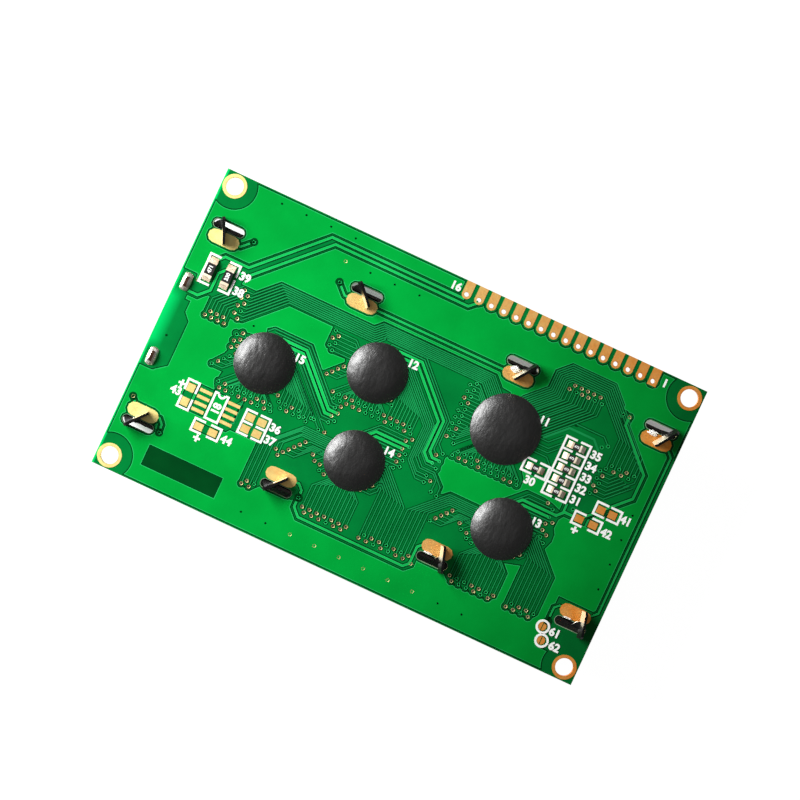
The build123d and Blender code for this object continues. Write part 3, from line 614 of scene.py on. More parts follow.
def grained(tree, tone, grain, roughness, depth, **levels):
    """Shader with a grain this deep in millimetres, and a roughness that is even or follows the grain."""
    if isinstance(roughness, tuple):
        low, high = roughness
        roughness = add_node(tree, "MapRange", {"Value": grain, "To Min": low, "To Max": high})
    relief = add_node(tree, "Bump", {"Height": grain, "Distance": depth * MM})
    inputs = {"Base Color": tone, "Roughness": roughness, "Normal": relief}
    for name, level in levels.items():
        inputs[name.replace("_", " ")] = level
    return add_node(tree, "BsdfPrincipled", inputs)


def show_laminate(tree, place, parts, tone):
    """Tone of the mask on bare laminate: the backlight's glow at its end, painted into the colour, and the
    cloth under it.
    """
    # painted glow: the backlight's light coming out between the two leads, and along the very edge, painted
    # as a brighter green
    inward = add_node(tree, "MapRange", {
        "Value": parts["X"], "From Min": BOARD_LOW.x + 2.6 * MM, "From Max": BOARD_LOW.x + 0.4 * MM})
    aside = add_node(tree, "Math", {0: parts["Y"]}, operation="ABSOLUTE")
    between = add_node(tree, "MapRange", {"Value": aside, "From Min": 6.6 * MM, "From Max": 4.2 * MM})
    lit = add_node(tree, "Math", {0: inward, 1: between}, operation="MULTIPLY")
    rim = add_node(tree, "MapRange", {
        "Value": parts["X"], "From Min": BOARD_LOW.x + 0.5 * MM, "From Max": BOARD_LOW.x + 0.25 * MM})
    lit = add_node(tree, "Math", {0: lit, 1: rim}, operation="MAXIMUM")
    tone = add_node(tree, "Mix", {"Factor": lit, 6: tone, 7: linear("#00c860")}, data_type="RGBA")
    # the threads of the glass cloth show faintly
    cloth = [threads(tree, place, CLOTH_PITCH, way, Distortion=0.6) for way in ("X", "Y")]
    weave = add_node(tree, "Math", {0: cloth[0], 1: cloth[1]}, operation="MULTIPLY")
    faint = add_node(tree, "Math", {0: weave, 1: CLOTH_SHARE}, operation="MULTIPLY")
    return add_node(tree, "Mix", {"Factor": faint, 6: tone, 7: linear("#2fae6a")}, data_type="RGBA")


def cut_edges(tree, place, shader):
    """Shader with layers of pale glass and resin on the upright faces, where the board is cut."""
    layers = threads(tree, place, GLASS_LAYER, "Z", Distortion=2.5, Detail=3.0)
    fibre = speckle(tree, place, 0.15, 3.0, (1, 1, 4))
    cut = add_node(
        tree, "Mix", {"Factor": layers, 6: linear("#8f9a4e"), 7: linear("#c9c486")}, data_type="RGBA")
    edge = grained(tree, blotched(tree, fibre, 0.4, 0.75, cut, linear("#77823c")), fibre, 0.75, 0.03)
    normal = add_node(tree, "NewGeometry", {}).outputs["Normal"]
    upright = add_node(tree, "SeparateXYZ", {"Vector": normal}).outputs["Z"]
    flat = add_node(tree, "Math", {0: upright}, operation="ABSOLUTE")
    face = add_node(tree, "Math", {0: flat, 1: 0.5}, operation="GREATER_THAN")
    return add_node(tree, "MixShader", {0: face, 1: edge, 2: shader})


def solder_mask(name, colour, deep, bare_laminate=False):
    """Cured liquid solder mask: a smooth, slightly wavy green gloss, with painted light and shade across the
    board.
    """
    material, tree, place = new_finish(name)
    cloud = speckle(tree, place, 7.0, 3.0)
    grain = speckle(tree, place, 0.5, 5.0)
    parts = add_node(tree, "SeparateXYZ", {"Vector": place}).outputs
    # painted light and shade: the mask is painted paler towards the left end, near the lamp, and towards the
    # middle of the board, and darker towards the right end and the edges
    along = add_node(tree, "MapRange", {
        "Value": parts["X"], "From Min": BOARD_HIGH.x, "From Max": BOARD_LOW.x})
    away = add_node(tree, "VectorMath", {0: place}, operation="LENGTH")
    inner = add_node(tree, "MapRange", {"Value": away, "From Min": 52 * MM, "From Max": 16 * MM})
    share = add_node(tree, "Mix", {"Factor": 0.45, "A": along, "B": inner})
    pale = add_node(
        tree, "Mix", {"Factor": share, 6: (0.6, 0.55, 0.52, 1), 7: (1.3, 1.27, 1.3, 1)}, data_type="RGBA")
    base = blotched(tree, cloud, 0.3, 0.7, colour, deep)
    tone = add_node(
        tree, "Mix", {"Factor": 1.0, 6: base, 7: pale}, data_type="RGBA", blend_type="MULTIPLY")
    if bare_laminate:
        tone = show_laminate(tree, place, parts, tone)
    shader = grained(tree, tone, grain, (0.3, 0.5), 0.01, Specular_IOR_Level=0.04)
    if bare_laminate:
        shader = cut_edges(tree, place, shader)
    add_node(tree, "OutputMaterial", {"Surface": shader})
    return material


def metal(name, colour, tarnish, roughness, grain=0.35, depth=0.01, painted_shade_slant=0.0):
    """Plated or bare metal with uneven tarnish and a fine grain, and with painted shade towards the right end
    of the board if slanted.
    """
    material, tree, place = new_finish(name)
    cloud = speckle(tree, place, 1.6)
    fine = speckle(tree, place, grain)
    share = add_node(tree, "MapRange", {"Value": cloud, "From Min": 0.35, "From Max": 0.75})
    if painted_shade_slant:
        # painted shade: deeper towards the right end of the board, away from the lamp
        parts = add_node(tree, "SeparateXYZ", {"Vector": place}).outputs
        along = add_node(tree, "MapRange", {
            "Value": parts["X"], "From Min": BOARD_LOW.x, "From Max": BOARD_HIGH.x})
        mixed = add_node(tree, "Math", {0: along, 1: painted_shade_slant}, operation="MULTIPLY")
        share = add_node(tree, "Math", {0: share, 1: 0.25, 2: mixed}, operation="MULTIPLY_ADD")
    tone = add_node(tree, "Mix", {"Factor": share, 6: colour, 7: tarnish}, data_type="RGBA")
    shader = grained(tree, tone, fine, (roughness * 0.8, roughness * 1.25), depth, Metallic=1.0)
    add_node(tree, "OutputMaterial", {"Surface": shader})
    return material


def plastic(name, colour, worn, roughness, grain=0.3, depth=0.01, gloss=0.5, stretch=(1, 1, 1)):
    """Moulded, printed or potted material that isn't metal, with uneven tone and fine grain."""
    material, tree, place = new_finish(name)
    cloud = speckle(tree, place, 2.2)
    fine = speckle(tree, place, grain, 5.0, stretch)
    tone = blotched(tree, cloud, 0.35, 0.75, colour, worn)
    spread = (roughness * 0.8, roughness * 1.2)
    shader = grained(tree, tone, fine, spread, depth, Specular_IOR_Level=gloss)
    add_node(tree, "OutputMaterial", {"Surface": shader})
    return material


def lacquered_steel(name):
    """Stoved black lacquer on sheet steel, bare where it was sheared, and painted bright as a highlight on
    the left-facing turned faces of the tabs.
    """
    material, tree, place = new_finish(name)
    cloud = speckle(tree, place, 2.2)
    fine = speckle(tree, place, 0.18, 5.0)
    black = blotched(tree, cloud, 0.35, 0.75, linear("#0b0b0b"), linear("#171615"))
    lacquer = grained(tree, black, fine, (0.3, 0.45), 0.006, Specular_IOR_Level=0.25)
    grey = blotched(tree, fine, 0.35, 0.7, linear("#565251"), linear("#2e2b2b"))
    bare = grained(tree, grey, fine, 0.4, 0.02, Metallic=1.0)
    # painted highlight: a cream tone for the faces of the tabs that turn towards the lamp
    bright = blotched(tree, fine, 0.3, 0.7, linear("#fff6dc"), linear("#d8cdb0"))
    tab_face_highlight = grained(tree, bright, fine, 0.25, 0.015, Metallic=0.5)
    parts = add_node(tree, "SeparateXYZ", {"Vector": place}).outputs
    normal = add_node(tree, "NewGeometry", {}).outputs["Normal"]
    facing = add_node(tree, "SeparateXYZ", {"Vector": normal}).outputs
    # the sheared edge of the sheet, just under the board
    near = add_node(tree, "Math", {0: parts["Z"], 1: BOARD_LOW.z, 2: 0.2 * MM}, operation="COMPARE")
    flat = add_node(tree, "Math", {0: facing["Z"], 1: 0.9}, operation="GREATER_THAN")
    sheared = add_node(tree, "Math", {0: near, 1: flat}, operation="MULTIPLY")
    # painted highlight: the faces of the tabs that turn left, towards the lamp, are painted bright, ending
    # unevenly where the tab leaves the pad
    above = add_node(tree, "Math", {0: parts["Z"], 1: BOARD_HIGH.z + 0.2 * MM}, operation="GREATER_THAN")
    left_face = add_node(tree, "Math", {0: facing["X"], 1: -0.4}, operation="LESS_THAN")
    aside = add_node(tree, "Math", {0: parts["Y"]}, operation="ABSOLUTE")
    torn = add_node(tree, "Math", {0: fine, 1: 1.6 * MM, 2: aside}, operation="MULTIPLY_ADD")
    inward = add_node(tree, "MapRange", {"Value": torn, "From Min": 20.2 * MM, "From Max": 19.6 * MM})
    highlight_share = add_node(tree, "Math", {0: above, 1: left_face}, operation="MULTIPLY")
    highlight_share = add_node(tree, "Math", {0: highlight_share, 1: inward}, operation="MULTIPLY")
    edges = add_node(tree, "MixShader", {0: sheared, 1: lacquer, 2: bare})
    shader = add_node(tree, "MixShader", {0: highlight_share, 1: edges, 2: tab_face_highlight})
    add_node(tree, "OutputMaterial", {"Surface": shader})
    return material


FINISHES = {}

# Which nodes of the frame have each finish
DRESSED = {
    "mask_on_laminate": ["circuit_board", "led_board"],
    "mask_on_copper": ["ground_pour"],
    "mask_on_wide_track": ["supply_tracks"],
    "gilt_copper": ["header_pads", "tab_pads", "component_pads", "mounting_hole_rings"],
    "tin_solder": ["backlight_solder"],
    "fluxed_tin": ["resistor_solder", "resistor_ends"],
    "tinned_lead": ["backlight_leads"],
    "black_epoxy": list(CHIPS),
    "chip_overcoat": ["resistor_bodies"],
    "black_lacquer": ["bezel"],
    "display_glass": ["front_glass", "rear_glass"],
    "polariser_film": ["front_polariser", "rear_polariser"],
    "edge_sealant": ["cell_seal"],
    "contact_rubber": ["upper_contact_strip", "lower_contact_strip"],
    "white_moulding": ["diffuser", "backlight_frame"],
    "lens_resin": ["led_chips"],
}


class ModuleSettings(bpy.types.PropertyGroup):
    mask_colour: FloatVectorProperty(
        name="Mask on copper", description="Colour of the solder mask where copper lies under it",
        subtype="COLOR", size=4, min=0, max=1, default=linear("#00a83c"),
    )
    laminate_colour: FloatVectorProperty(
        name="Mask on laminate", description="Colour of the solder mask on bare laminate",
        subtype="COLOR", size=4, min=0, max=1, default=linear("#008237"),
    )
    track_colour: FloatVectorProperty(
        name="Fine tracks", description="Colour of the mask over the fine tracks",
        subtype="COLOR", size=4, min=0, max=1, default=linear("#1ba056"),
    )
    gold_colour: FloatVectorProperty(
        name="Gilding", description="Colour of the gilt pads and barrels",
        subtype="COLOR", size=4, min=0, max=1, default=linear("#fff4a6"),
    )
    legend_colour: FloatVectorProperty(
        name="Legend ink", description="Colour of the printed lines and numbers",
        subtype="COLOR", size=4, min=0, max=1, default=linear("#fbfbf8"),
    )
    track_width: FloatProperty(
        name="Track width", description="Width of a fine track",
        unit="LENGTH", default=0.2 * MM, min=0.05 * MM,
    )
    track_height: FloatProperty(
        name="Track height", description="Height of a track over the laminate",
        unit="LENGTH", default=0.035 * MM, min=0,
    )
    # painted highlight: the width of the bright rim at the edge of the copper
    highlight_rim_width: FloatProperty(
        name="Rim width", description="Width of the bright rim at the edge of the copper",
        unit="LENGTH", default=0.13 * MM, min=0,
    )
    # painted shade: the width of the dark band beside the copper
    shade_gap_width: FloatProperty(
        name="Gap width", description="Width of the dark hollow beside the copper",
        unit="LENGTH", default=0.22 * MM, min=0,
    )
    hole_ring: FloatProperty(
        name="Ring radius", description="Outer radius of the ring of a through hole",
        unit="LENGTH", default=0.36 * MM,
    )
    hole_radius: FloatProperty(
        name="Hole radius", description="Radius of a through hole",
        unit="LENGTH", default=0.21 * MM,
    )
    legend_width: FloatProperty(
        name="Legend line", description="Width of a printed line",
        unit="LENGTH", default=0.42 * MM,
    )
    legend_height: FloatProperty(
        name="Ink height", description="Height of the ink over the board",
        unit="LENGTH", default=0.08 * MM,
    )
    number_size: FloatProperty(
        name="Number size", description="Height of the printed numbers",
        unit="LENGTH", default=2.1 * MM,
    )
    wrinkle: FloatProperty(
        name="Wrinkle", description="How far the epoxy drops depart from smooth",
        unit="LENGTH", default=0.06 * MM,
    )
    drop_shape: FloatProperty(
        name="Drop shape", description="Power of the drop's outline: 2 is a dome, more is flatter",
        default=2.8, min=2, max=4,
    )
    dot_columns: IntProperty(name="Columns", description="Characters in a line", default=20, min=1)
    dot_rows: IntProperty(name="Lines", description="Lines of characters", default=4, min=1)
    lamp_power: FloatProperty(
        name="Lamp power", description="Power of the soft lamp at the left",
        unit="POWER", default=3.3, min=0,
    )


def settings():
    """Settings of the module in this scene."""
    return bpy.context.scene.display_module


class MODULE_OT_finishes(bpy.types.Operator):
    """Make the finishes and give each solid of the module its own"""
    bl_idname = "display_module.finishes"
    bl_label = "Finishes"

    def execute(self, context):
        s = settings()
        # maker, name, the two colours, roughness, size and depth of the grain in millimetres, and what the
        # maker takes besides
        looks = (
            # liquid mask cured to a gloss: the deep green ground of the board, with its cut edge and a
            # painted glow of the backlight at its end
            (solder_mask, "mask_on_laminate", s.laminate_colour, "#007230", True),
            # the same mask where copper lies under it: a brighter, fuller green
            (solder_mask, "mask_on_copper", s.mask_colour, "#009c36"),
            # over the wide tracks: the brightest green of all
            (solder_mask, "mask_on_wide_track", "#10c455", "#06b248"),
            # over the fine tracks: greyer, since it lies thin on them
            (solder_mask, "mask_on_fine_track", s.track_colour, "#158c4a"),
            # painted highlight: a pale line round every field of copper, where the mask runs over its edge
            (solder_mask, "mask_on_rim_painted_highlight", "#2cc66c", "#1cb058"),
            # painted shade: a dark line beside the copper, next to the pale one
            (solder_mask, "dark_mask_and_painted_shade", "#004a1c", "#003c16"),
            # painted shade: a dot that is nearly black in a closed hole
            (solder_mask, "painted_hole_shade", "#00240c", "#001c08"),
            # immersion gold: yellow pads, painted more orange towards the right as shade, where less light
            # reaches them
            (metal, "gilt_copper", s.gold_colour, "#f69f40", 0.62, 0.35, 0.01, 0.85),
            # the same gold on the narrow rings, thinner and paler
            (metal, "gilt_ring", "#f4ecae", "#c4b874", 0.5),
            # reflowed tin: bright and slightly grained joints
            (metal, "tin_solder", "#fffdf6", "#c8b49a", 0.45, 0.7, 0.12),
            # painted highlight: stark white lumps beside the tabs, where their turned faces glint
            (plastic, "glint_white", "#ffffff", "#e6e0d2", 0.3, 0.25, 0.08, 0.8),
            # tin under its flux: cream to tan ends on the small chips
            (plastic, "fluxed_tin", "#fff2dc", "#c49a6c", 0.3, 0.6, 0.08),
            # copper wire with worn tin: brown leads
            (metal, "tinned_lead", "#8a6450", "#4a3028", 0.3, 0.4, 0.05),
            # potting epoxy cured black: soft wrinkled lights on the drops
            (plastic, "black_epoxy", "#0a0908", "#100e0d", 0.42, 0.9, 0.09, 1.0, (1.4, 0.8, 1)),
            # glass overcoat of the chip resistors: a dull, near black brown
            (plastic, "chip_overcoat", "#1d1c1b", "#322f2b", 0.4, 0.2),
            # stoved lacquer on folded steel: a deep black with bare bright edges, and a painted highlight on
            # the tabs' left faces
            (lacquered_steel, "black_lacquer"),
            # epoxy screen ink: flat white lines and numbers
            (plastic, "legend_ink", s.legend_colour, "#eeeeea", 0.6, 0.25, 0.02, 0.3),
            # punched glass and resin: the dull grey-green rim of a slot
            (plastic, "cut_rim", "#8fa48a", "#4f6a50", 0.5, 0.4),
            # inside of an open plated hole: brown-black shade
            (plastic, "hole_shade", "#15130d", "#241f14", 0.7, 0.1),
            # layered contact rubber: warm grey, without any gloss
            (plastic, "contact_rubber", "#c9c3bb", "#a59c92", 0.8, 0.15, 0.03, 0.3),
            # white moulded polycarbonate: an even, half matt white
            (plastic, "white_moulding", "#f0efec", "#e2e0db", 0.5),
            # cured edge sealant: a milky rim round the cell
            (plastic, "edge_sealant", "#bcbca0", "#a4a488", 0.5),
            # clear cast lens resin: glossy pale yellow
            (plastic, "lens_resin", "#f2e7a0", "#e8d880", 0.25, 0.4, 0.005),
            # float glass: a grey-green ledge with a sharp gloss
            (plastic, "display_glass", "#9cb39a", "#91a890", 0.12, 1.5, 0.002),
            # polariser over unlit reflective film: the yellow-green of the window
            (plastic, "polariser_film", "#8a9a24", "#84931f", 0.2, 0.4, 0.004),
            # unlit dots of liquid crystal: a shade deeper than the film
            (plastic, "dot_tint", "#7b8a20", "#75841c", 0.22, 0.4, 0.004),
        )
        for maker, name, *look in looks:
            values = [linear(value) if isinstance(value, str) else value for value in look]
            FINISHES[name] = maker(name, *values)
        for finish, names in DRESSED.items():
            for name in names:
                slots = NODES[name].material_slots
                for slot in slots:
                    slot.material = FINISHES[finish]
                if not slots:
                    raise RuntimeError(f"{name} has no material slot")
        return {"FINISHED"}


class MODULE_OT_copper_edges(bpy.types.Operator):
    """Paint a highlight along the edges of the copper, a bright rim on it, and painted shade in a dark band
    beside it
    """
    bl_idname = "display_module.copper_edges"
    bl_label = "Copper edges"

    def execute(self, context):
        s = settings()
        rims, gap_shade = bmesh.new(), bmesh.new()
        # the painted highlight lies just over the top of the copper, and the painted shade just over the
        # laminate beside it
        bands = ((rims, s.highlight_rim_width, 0.004 * MM), (gap_shade, -s.shade_gap_width, -0.045 * MM))
        for step, node in enumerate(("ground_pour", "supply_tracks")):
            for target, width, lift in bands:
                part = bmesh.new()
                part.from_mesh(NODES[node].data)
                bmesh.ops.remove_doubles(part, verts=part.verts[:], dist=1e-7)
                lower = [f for f in part.faces if f.normal.z < 0.5]
                bmesh.ops.delete(part, geom=lower, context="FACES")
                ring = bmesh.ops.inset_region(
                    part, faces=part.faces[:], thickness=width, use_boundary=True, use_even_offset=True)
                kept = set(ring["faces"])
                bmesh.ops.delete(part, geom=[f for f in part.faces if f not in kept], context="FACES")
                bmesh.ops.translate(part, vec=(0, 0, lift + 0.002 * step * MM), verts=part.verts[:])
                move_into(target, part)
        face_up(rims)
        face_up(gap_shade)
        add_piece("copper_rim_highlights", rims, "masked_copper", FINISHES["mask_on_rim_painted_highlight"])
        add_piece("copper_gap_shade", gap_shade, "board", FINISHES["dark_mask_and_painted_shade"])
        return {"FINISHED"}


class MODULE_OT_fine_tracks(bpy.types.Operator):
    """Lay the fine tracks, with painted shade in dark bands beside them and round the first hole of each
    route
    """
    bl_idname = "display_module.fine_tracks"
    bl_label = "Fine tracks"

    def execute(self, context):
        s = settings()
        tracks, hollow_shade = bmesh.new(), bmesh.new()
        level = BOARD_HIGH.z
        width = s.track_width / MM
        routes = [points for _, points in ROUTES] + [points for _, points in fans()]
        for i, points in enumerate(routes):
            lay_ribbon(tracks, points, width, level)
            # neighbours lie at other levels, so that no two bands of painted shade share a plane where they
            # overlap
            lay_ribbon(hollow_shade, points, width + 2 * SHADE_BAND_WIDTH, level + (0.001 + 0.0004 * (i % 7)) * MM)
        for points in MEDIUM_ROUTES:
            lay_ribbon(tracks, points, 2 * width, level)
        thicken(tracks, s.track_height)
        # painted shade: a dark disc round the first hole of each route
        for points in routes:
            bmesh.ops.create_circle(
                hollow_shade, cap_ends=True, segments=12, radius=s.hole_ring + SHADE_BAND_WIDTH * MM,
                matrix=at(*points[0], level + 0.0005 * MM))
        face_up(hollow_shade)
        add_piece("fine_tracks", tracks, "masked_copper", FINISHES["mask_on_fine_track"])
        add_piece("track_shade_bands", hollow_shade, "board", FINISHES["dark_mask_and_painted_shade"])
        return {"FINISHED"}


class MODULE_OT_through_holes(bpy.types.Operator):
    """Set the small plated holes: gilt rings where they are bare, green ones where the mask covers them, and
    painted shade in their middles
    """
    bl_idname = "display_module.through_holes"
    bl_label = "Through holes"

    def execute(self, context):
        s = settings()
        families = list(ROUTES) + list(fans())
        ring = s.hole_ring
        bare_places = [(points[0], ring) for ringed, points in families if ringed]
        bare_places += [(place, ring) for place in OPEN_HOLES]
        closed_places = [(points[0], ring) for ringed, points in families if ringed is False]
        closed_places += [(place, ring) for place in END_HOLES]
        closed_places += [(place, s.hole_radius) for place in CLOSED_HOLES]
        low, high = BOARD_HIGH.z, COPPER_TOP + 0.02 * MM
        for name, places, slot, rim, dark in (
            ("bare_hole_rings", bare_places, "pad_gold", "gilt_ring", "hole_shade"),
            ("covered_hole_rings", closed_places, "masked_copper", "mask_on_rim_painted_highlight", "painted_hole_shade"),
        ):
            mesh = bmesh.new()
            for (x, y), radius in places:
                bmesh.ops.create_cone(
                    mesh, cap_ends=True, segments=12, radius1=radius, radius2=radius * RING_TAPER,
                    depth=high - low, matrix=at(x, y, (low + high) / 2))
            tops = [f for f in mesh.faces if f.normal.z > 0.9]
            # the dots have no ring round them
            wide = [f for f in tops if f.calc_area() > 3 * s.hole_radius**2]
            bmesh.ops.inset_individual(
                mesh, faces=wide, thickness=ring * RING_TAPER - s.hole_radius, depth=-0.03 * MM)
            # the middle of each top, and the whole of each dot, is painted dark as the shade in the hole
            for face in tops:
                face.material_index = 1
            add_piece(name, mesh, slot, FINISHES[rim], FINISHES[dark])
        return {"FINISHED"}


class MODULE_OT_dark_places(bpy.types.Operator):
    """Lay the dark mask round the holes at the ends of wide tracks, and on the clear panel"""
    bl_idname = "display_module.dark_places"
    bl_label = "Dark places"

    def execute(self, context):
        collars = bmesh.new()
        for place in TRACK_END_HOLES:
            bmesh.ops.create_circle(
                collars, cap_ends=True, segments=20, radius=COLLAR_RADIUS * MM,
                matrix=at(*place, COPPER_TOP + 0.006 * MM))
        add_grid(collars, at(*PANEL_MIDDLE, BOARD_HIGH.z + 0.004 * MM), PANEL_SIZE)
        add_piece("track_end_collars", collars, "board", FINISHES["dark_mask_and_painted_shade"])
        return {"FINISHED"}


class MODULE_OT_slot_rims(bpy.types.Operator):
    """Show the punched rim of each slot that a lock tab comes through"""
    bl_idname = "display_module.slot_rims"
    bl_label = "Slot rims"

    def execute(self, context):
        rims = bmesh.new()
        for x, y in SLOT_MIDDLES:
            right, left = (x + SLOT_STRAIGHT, y), (x - SLOT_STRAIGHT, y)
            path = arc(right, SLOT_RADIUS, 0, 90, 6)
            path += arc(left, SLOT_RADIUS, 105, 270, 11)
            path += arc(right, SLOT_RADIUS, 285, 360, 5)
            lay_ribbon(rims, path, SLOT_RIM, BOARD_HIGH.z + 0.004 * MM)
        face_up(rims)
        add_piece("slot_rims", rims, "board", FINISHES["cut_rim"])
        return {"FINISHED"}


class MODULE_OT_plated_barrels(bpy.types.Operator):
    """Line the header holes and the corner holes with their plating"""
    bl_idname = "display_module.plated_barrels"
    bl_label = "Plated barrels"

    def execute(self, context):
        mesh = bmesh.new()
        mount_x, mount_y = MOUNT_HOLE
        places = [(mount_x * ex, mount_y * ey, MOUNT_RADIUS) for ex in (-1, 1) for ey in (-1, 1)]
        places += [(PIN_ONE - PIN_PITCH * k, mount_y, PIN_RADIUS) for k in range(PIN_COUNT)]
        # the lining stands a little proud of the front face, and its lip covers the edge of the hole there
        front, back = BOARD_LOW.z, COPPER_TOP
        proud = front - 0.03 * MM
        for x, y, radius in places:
            inner, outer, lip = (radius - 0.06) * MM, (radius + 0.02) * MM, (radius + 0.4) * MM
            profile = [
                (lip, proud), (inner, proud), (inner, back), (outer, back), (outer, front), (lip, front),
            ]
            middle = Vector((x, y, 0)) * MM
            verts = [mesh.verts.new(middle + Vector((r, 0, z))) for r, z in profile]
            turn_about(mesh, verts, verts[-1:] + verts[:-1], middle, 32)
        bmesh.ops.recalc_face_normals(mesh, faces=mesh.faces[:])
        add_piece("plated_barrels", mesh, "pad_gold", FINISHES["gilt_copper"])
        return {"FINISHED"}


class MODULE_OT_legend(bpy.types.Operator):
    """Print the white lines and plain numbers"""
    bl_idname = "display_module.legend"
    bl_label = "Printed legend"

    def execute(self, context):
        s = settings()
        mesh = bmesh.new()
        level = BOARD_HIGH.z
        width = s.legend_width / MM
        for i, points in enumerate(LEGEND_LINES):
            # each line lies a hair over the one before, so that crossing lines share no plane
            lay_ribbon(mesh, points, width, level + 0.0008 * i * MM)
        for middle, radius, first, last in LEGEND_ARCS:
            steps = 8 if last - first < 360 else 28
            lay_ribbon(mesh, arc(middle, radius, first, last, steps), width, level)
        thicken(mesh, s.legend_height)
        for text, x, y, quarter in NUMBERS:
            add_text(mesh, text, x, y, quarter, s.number_size, level, s.legend_height)
        for face in mesh.faces:
            face.material_index = 0
        add_piece("printed_legend", mesh, "masked_copper", FINISHES["legend_ink"])
        return {"FINISHED"}


class MODULE_OT_chip_marks(bpy.types.Operator):
    """Print a plain value on each chip resistor"""
    bl_idname = "display_module.chip_marks"
    bl_label = "Chip values"

    def execute(self, context):
        mesh = bmesh.new()
        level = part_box("resistor_bodies")[1].z
        for text, x, y, quarter, size in CHIP_VALUES:
            # smaller digits are thinner, and stand lower
            add_text(
                mesh, text, x, y, quarter, size * MM, level + 0.004 * MM * size, 0.02 * MM * size, "CENTER")
        add_piece("chip_values", mesh, "chip_body", FINISHES["legend_ink"])
        return {"FINISHED"}


class MODULE_OT_lead_joints(bpy.types.Operator):
    """Round the two joints of solder on the backlight leads"""
    bl_idname = "display_module.lead_joints"
    bl_label = "Lead joints"

    def execute(self, context):
        s = settings()
        low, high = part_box("backlight_solder")
        joint = Vector((high.x - low.x, JOINT_LENGTH * MM, high.z - low.z))
        mesh = bmesh.new()
        for y in (high.y - joint.y / 2, low.y + joint.y / 2):
            middle = Vector(((low.x + high.x) / 2, y, low.z))
            part = bmesh.new()
            bmesh.ops.create_uvsphere(part, u_segments=40, v_segments=24, radius=1)
            below = [v for v in part.verts if v.co.z < -1e-4]
            bmesh.ops.delete(part, geom=below, context="VERTS")
            for vert in part.verts:
                # a squarish foot that the solder wets, drawn up the lead in the middle
                reach = max(math.hypot(vert.co.x, vert.co.y), 1e-6)
                across = max(abs(vert.co.x), abs(vert.co.y), 1e-6) / reach
                square = across ** -0.55
                flat = Vector((
                    vert.co.x * joint.x / 2 * square, vert.co.y * joint.y / 2 * square, vert.co.z * joint.z))
                flat.z += s.wrinkle * 1.5 * (noise.noise((middle + flat) * 1600) - 0.5) * vert.co.z
                vert.co = middle + flat
                vert.co.x = min(max(vert.co.x, low.x), high.x)
                vert.co.y = min(max(vert.co.y, y - joint.y / 2), y + joint.y / 2)
            move_into(mesh, part)
        round_off(mesh)
        piece = add_piece("lead_joints", mesh, "solder", FINISHES["tin_solder"])
        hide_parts("backlight_solder")
        return {"FINISHED"}


class MODULE_OT_tab_glints(bpy.types.Operator):
    """Lay white lumps at the feet of four tabs, as painted highlights where their turned faces glint"""
    bl_idname = "display_module.flux_crumbs"
    bl_label = "Flux crumbs"

    def execute(self, context):
        mesh = bmesh.new()
        for x, y, length, width in TAB_GLINTS:
            middle = Vector((x, y, COPPER_TOP / MM + 0.08))
            half = Vector((length / 2, width / 2, 0.2))
            for vert in bmesh.ops.create_icosphere(mesh, subdivisions=4, radius=1)["verts"]:
                ragged = 1 + 0.7 * noise.noise(vert.co * 2.6 + middle)
                vert.co = (middle + Matrix.Diagonal(half) @ vert.co * ragged) * MM
        bmesh.ops.recalc_face_normals(mesh, faces=mesh.faces[:])
        add_piece("flux_crumbs", mesh, "solder", FINISHES["glint_white"])
        return {"FINISHED"}


class MODULE_OT_potted_chips(bpy.types.Operator):
    """Pour the five epoxy drops, round and a little lumpy, over the solids that stand for them"""
    bl_idname = "display_module.potted_chips"
    bl_label = "Potted chips"

    def execute(self, context):
        s = settings()
        for node, (x, y, radius) in CHIPS.items():
            low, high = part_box(node)
            # the lumps lower the middle a little, so the smooth drop starts that much higher
            rise = (high.z - low.z) / 0.98
            size = radius * MM
            centre = Vector((x * MM, y * MM, 0))
            mesh = bmesh.new()
            profile = [Vector((size * 0.985, 0, BOARD_HIGH.z))]
            for i in range(DROP_RINGS + 1):
                out = size * max(math.cos(math.pi / 2 * i / DROP_RINGS), 0)
                # the foot rounds over before it meets the board
                height = rise * (1 - (out / size) ** s.drop_shape)
                profile.append(Vector((out, 0, low.z + max(height, 0.05 * MM))))
            verts = [mesh.verts.new(centre + p) for p in profile]
            turn_about(mesh, verts, verts[1:], centre, 112)
            bmesh.ops.remove_doubles(mesh, verts=mesh.verts[:], dist=1e-6)
            for vert in mesh.verts:
                out = vert.co - centre
                share = min(math.hypot(out.x, out.y) / size, 1)
                # lumps of about 2 mm, and wrinkles that run up and down the board
                wrinkles = noise.noise(Vector((vert.co.x * 1300, vert.co.y * 500, 7.0)))
                lump = noise.noise(vert.co * 450) + 0.4 * wrinkles
                if vert.co.z > low.z:
                    vert.co.z += (lump - 0.6) * s.wrinkle * (1 - share**4)
                # the outline is a little out of round
                ripple = 0.008 * noise.noise(Vector((math.atan2(out.y, out.x) * 2, radius, 3.0)))
                vert.co.x += out.x * ripple * share**6
                vert.co.y += out.y * ripple * share**6
            round_off(mesh)
            piece = add_piece(node.replace("drop", "epoxy"), mesh, "epoxy", FINISHES["black_epoxy"])
            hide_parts(node)
        return {"FINISHED"}


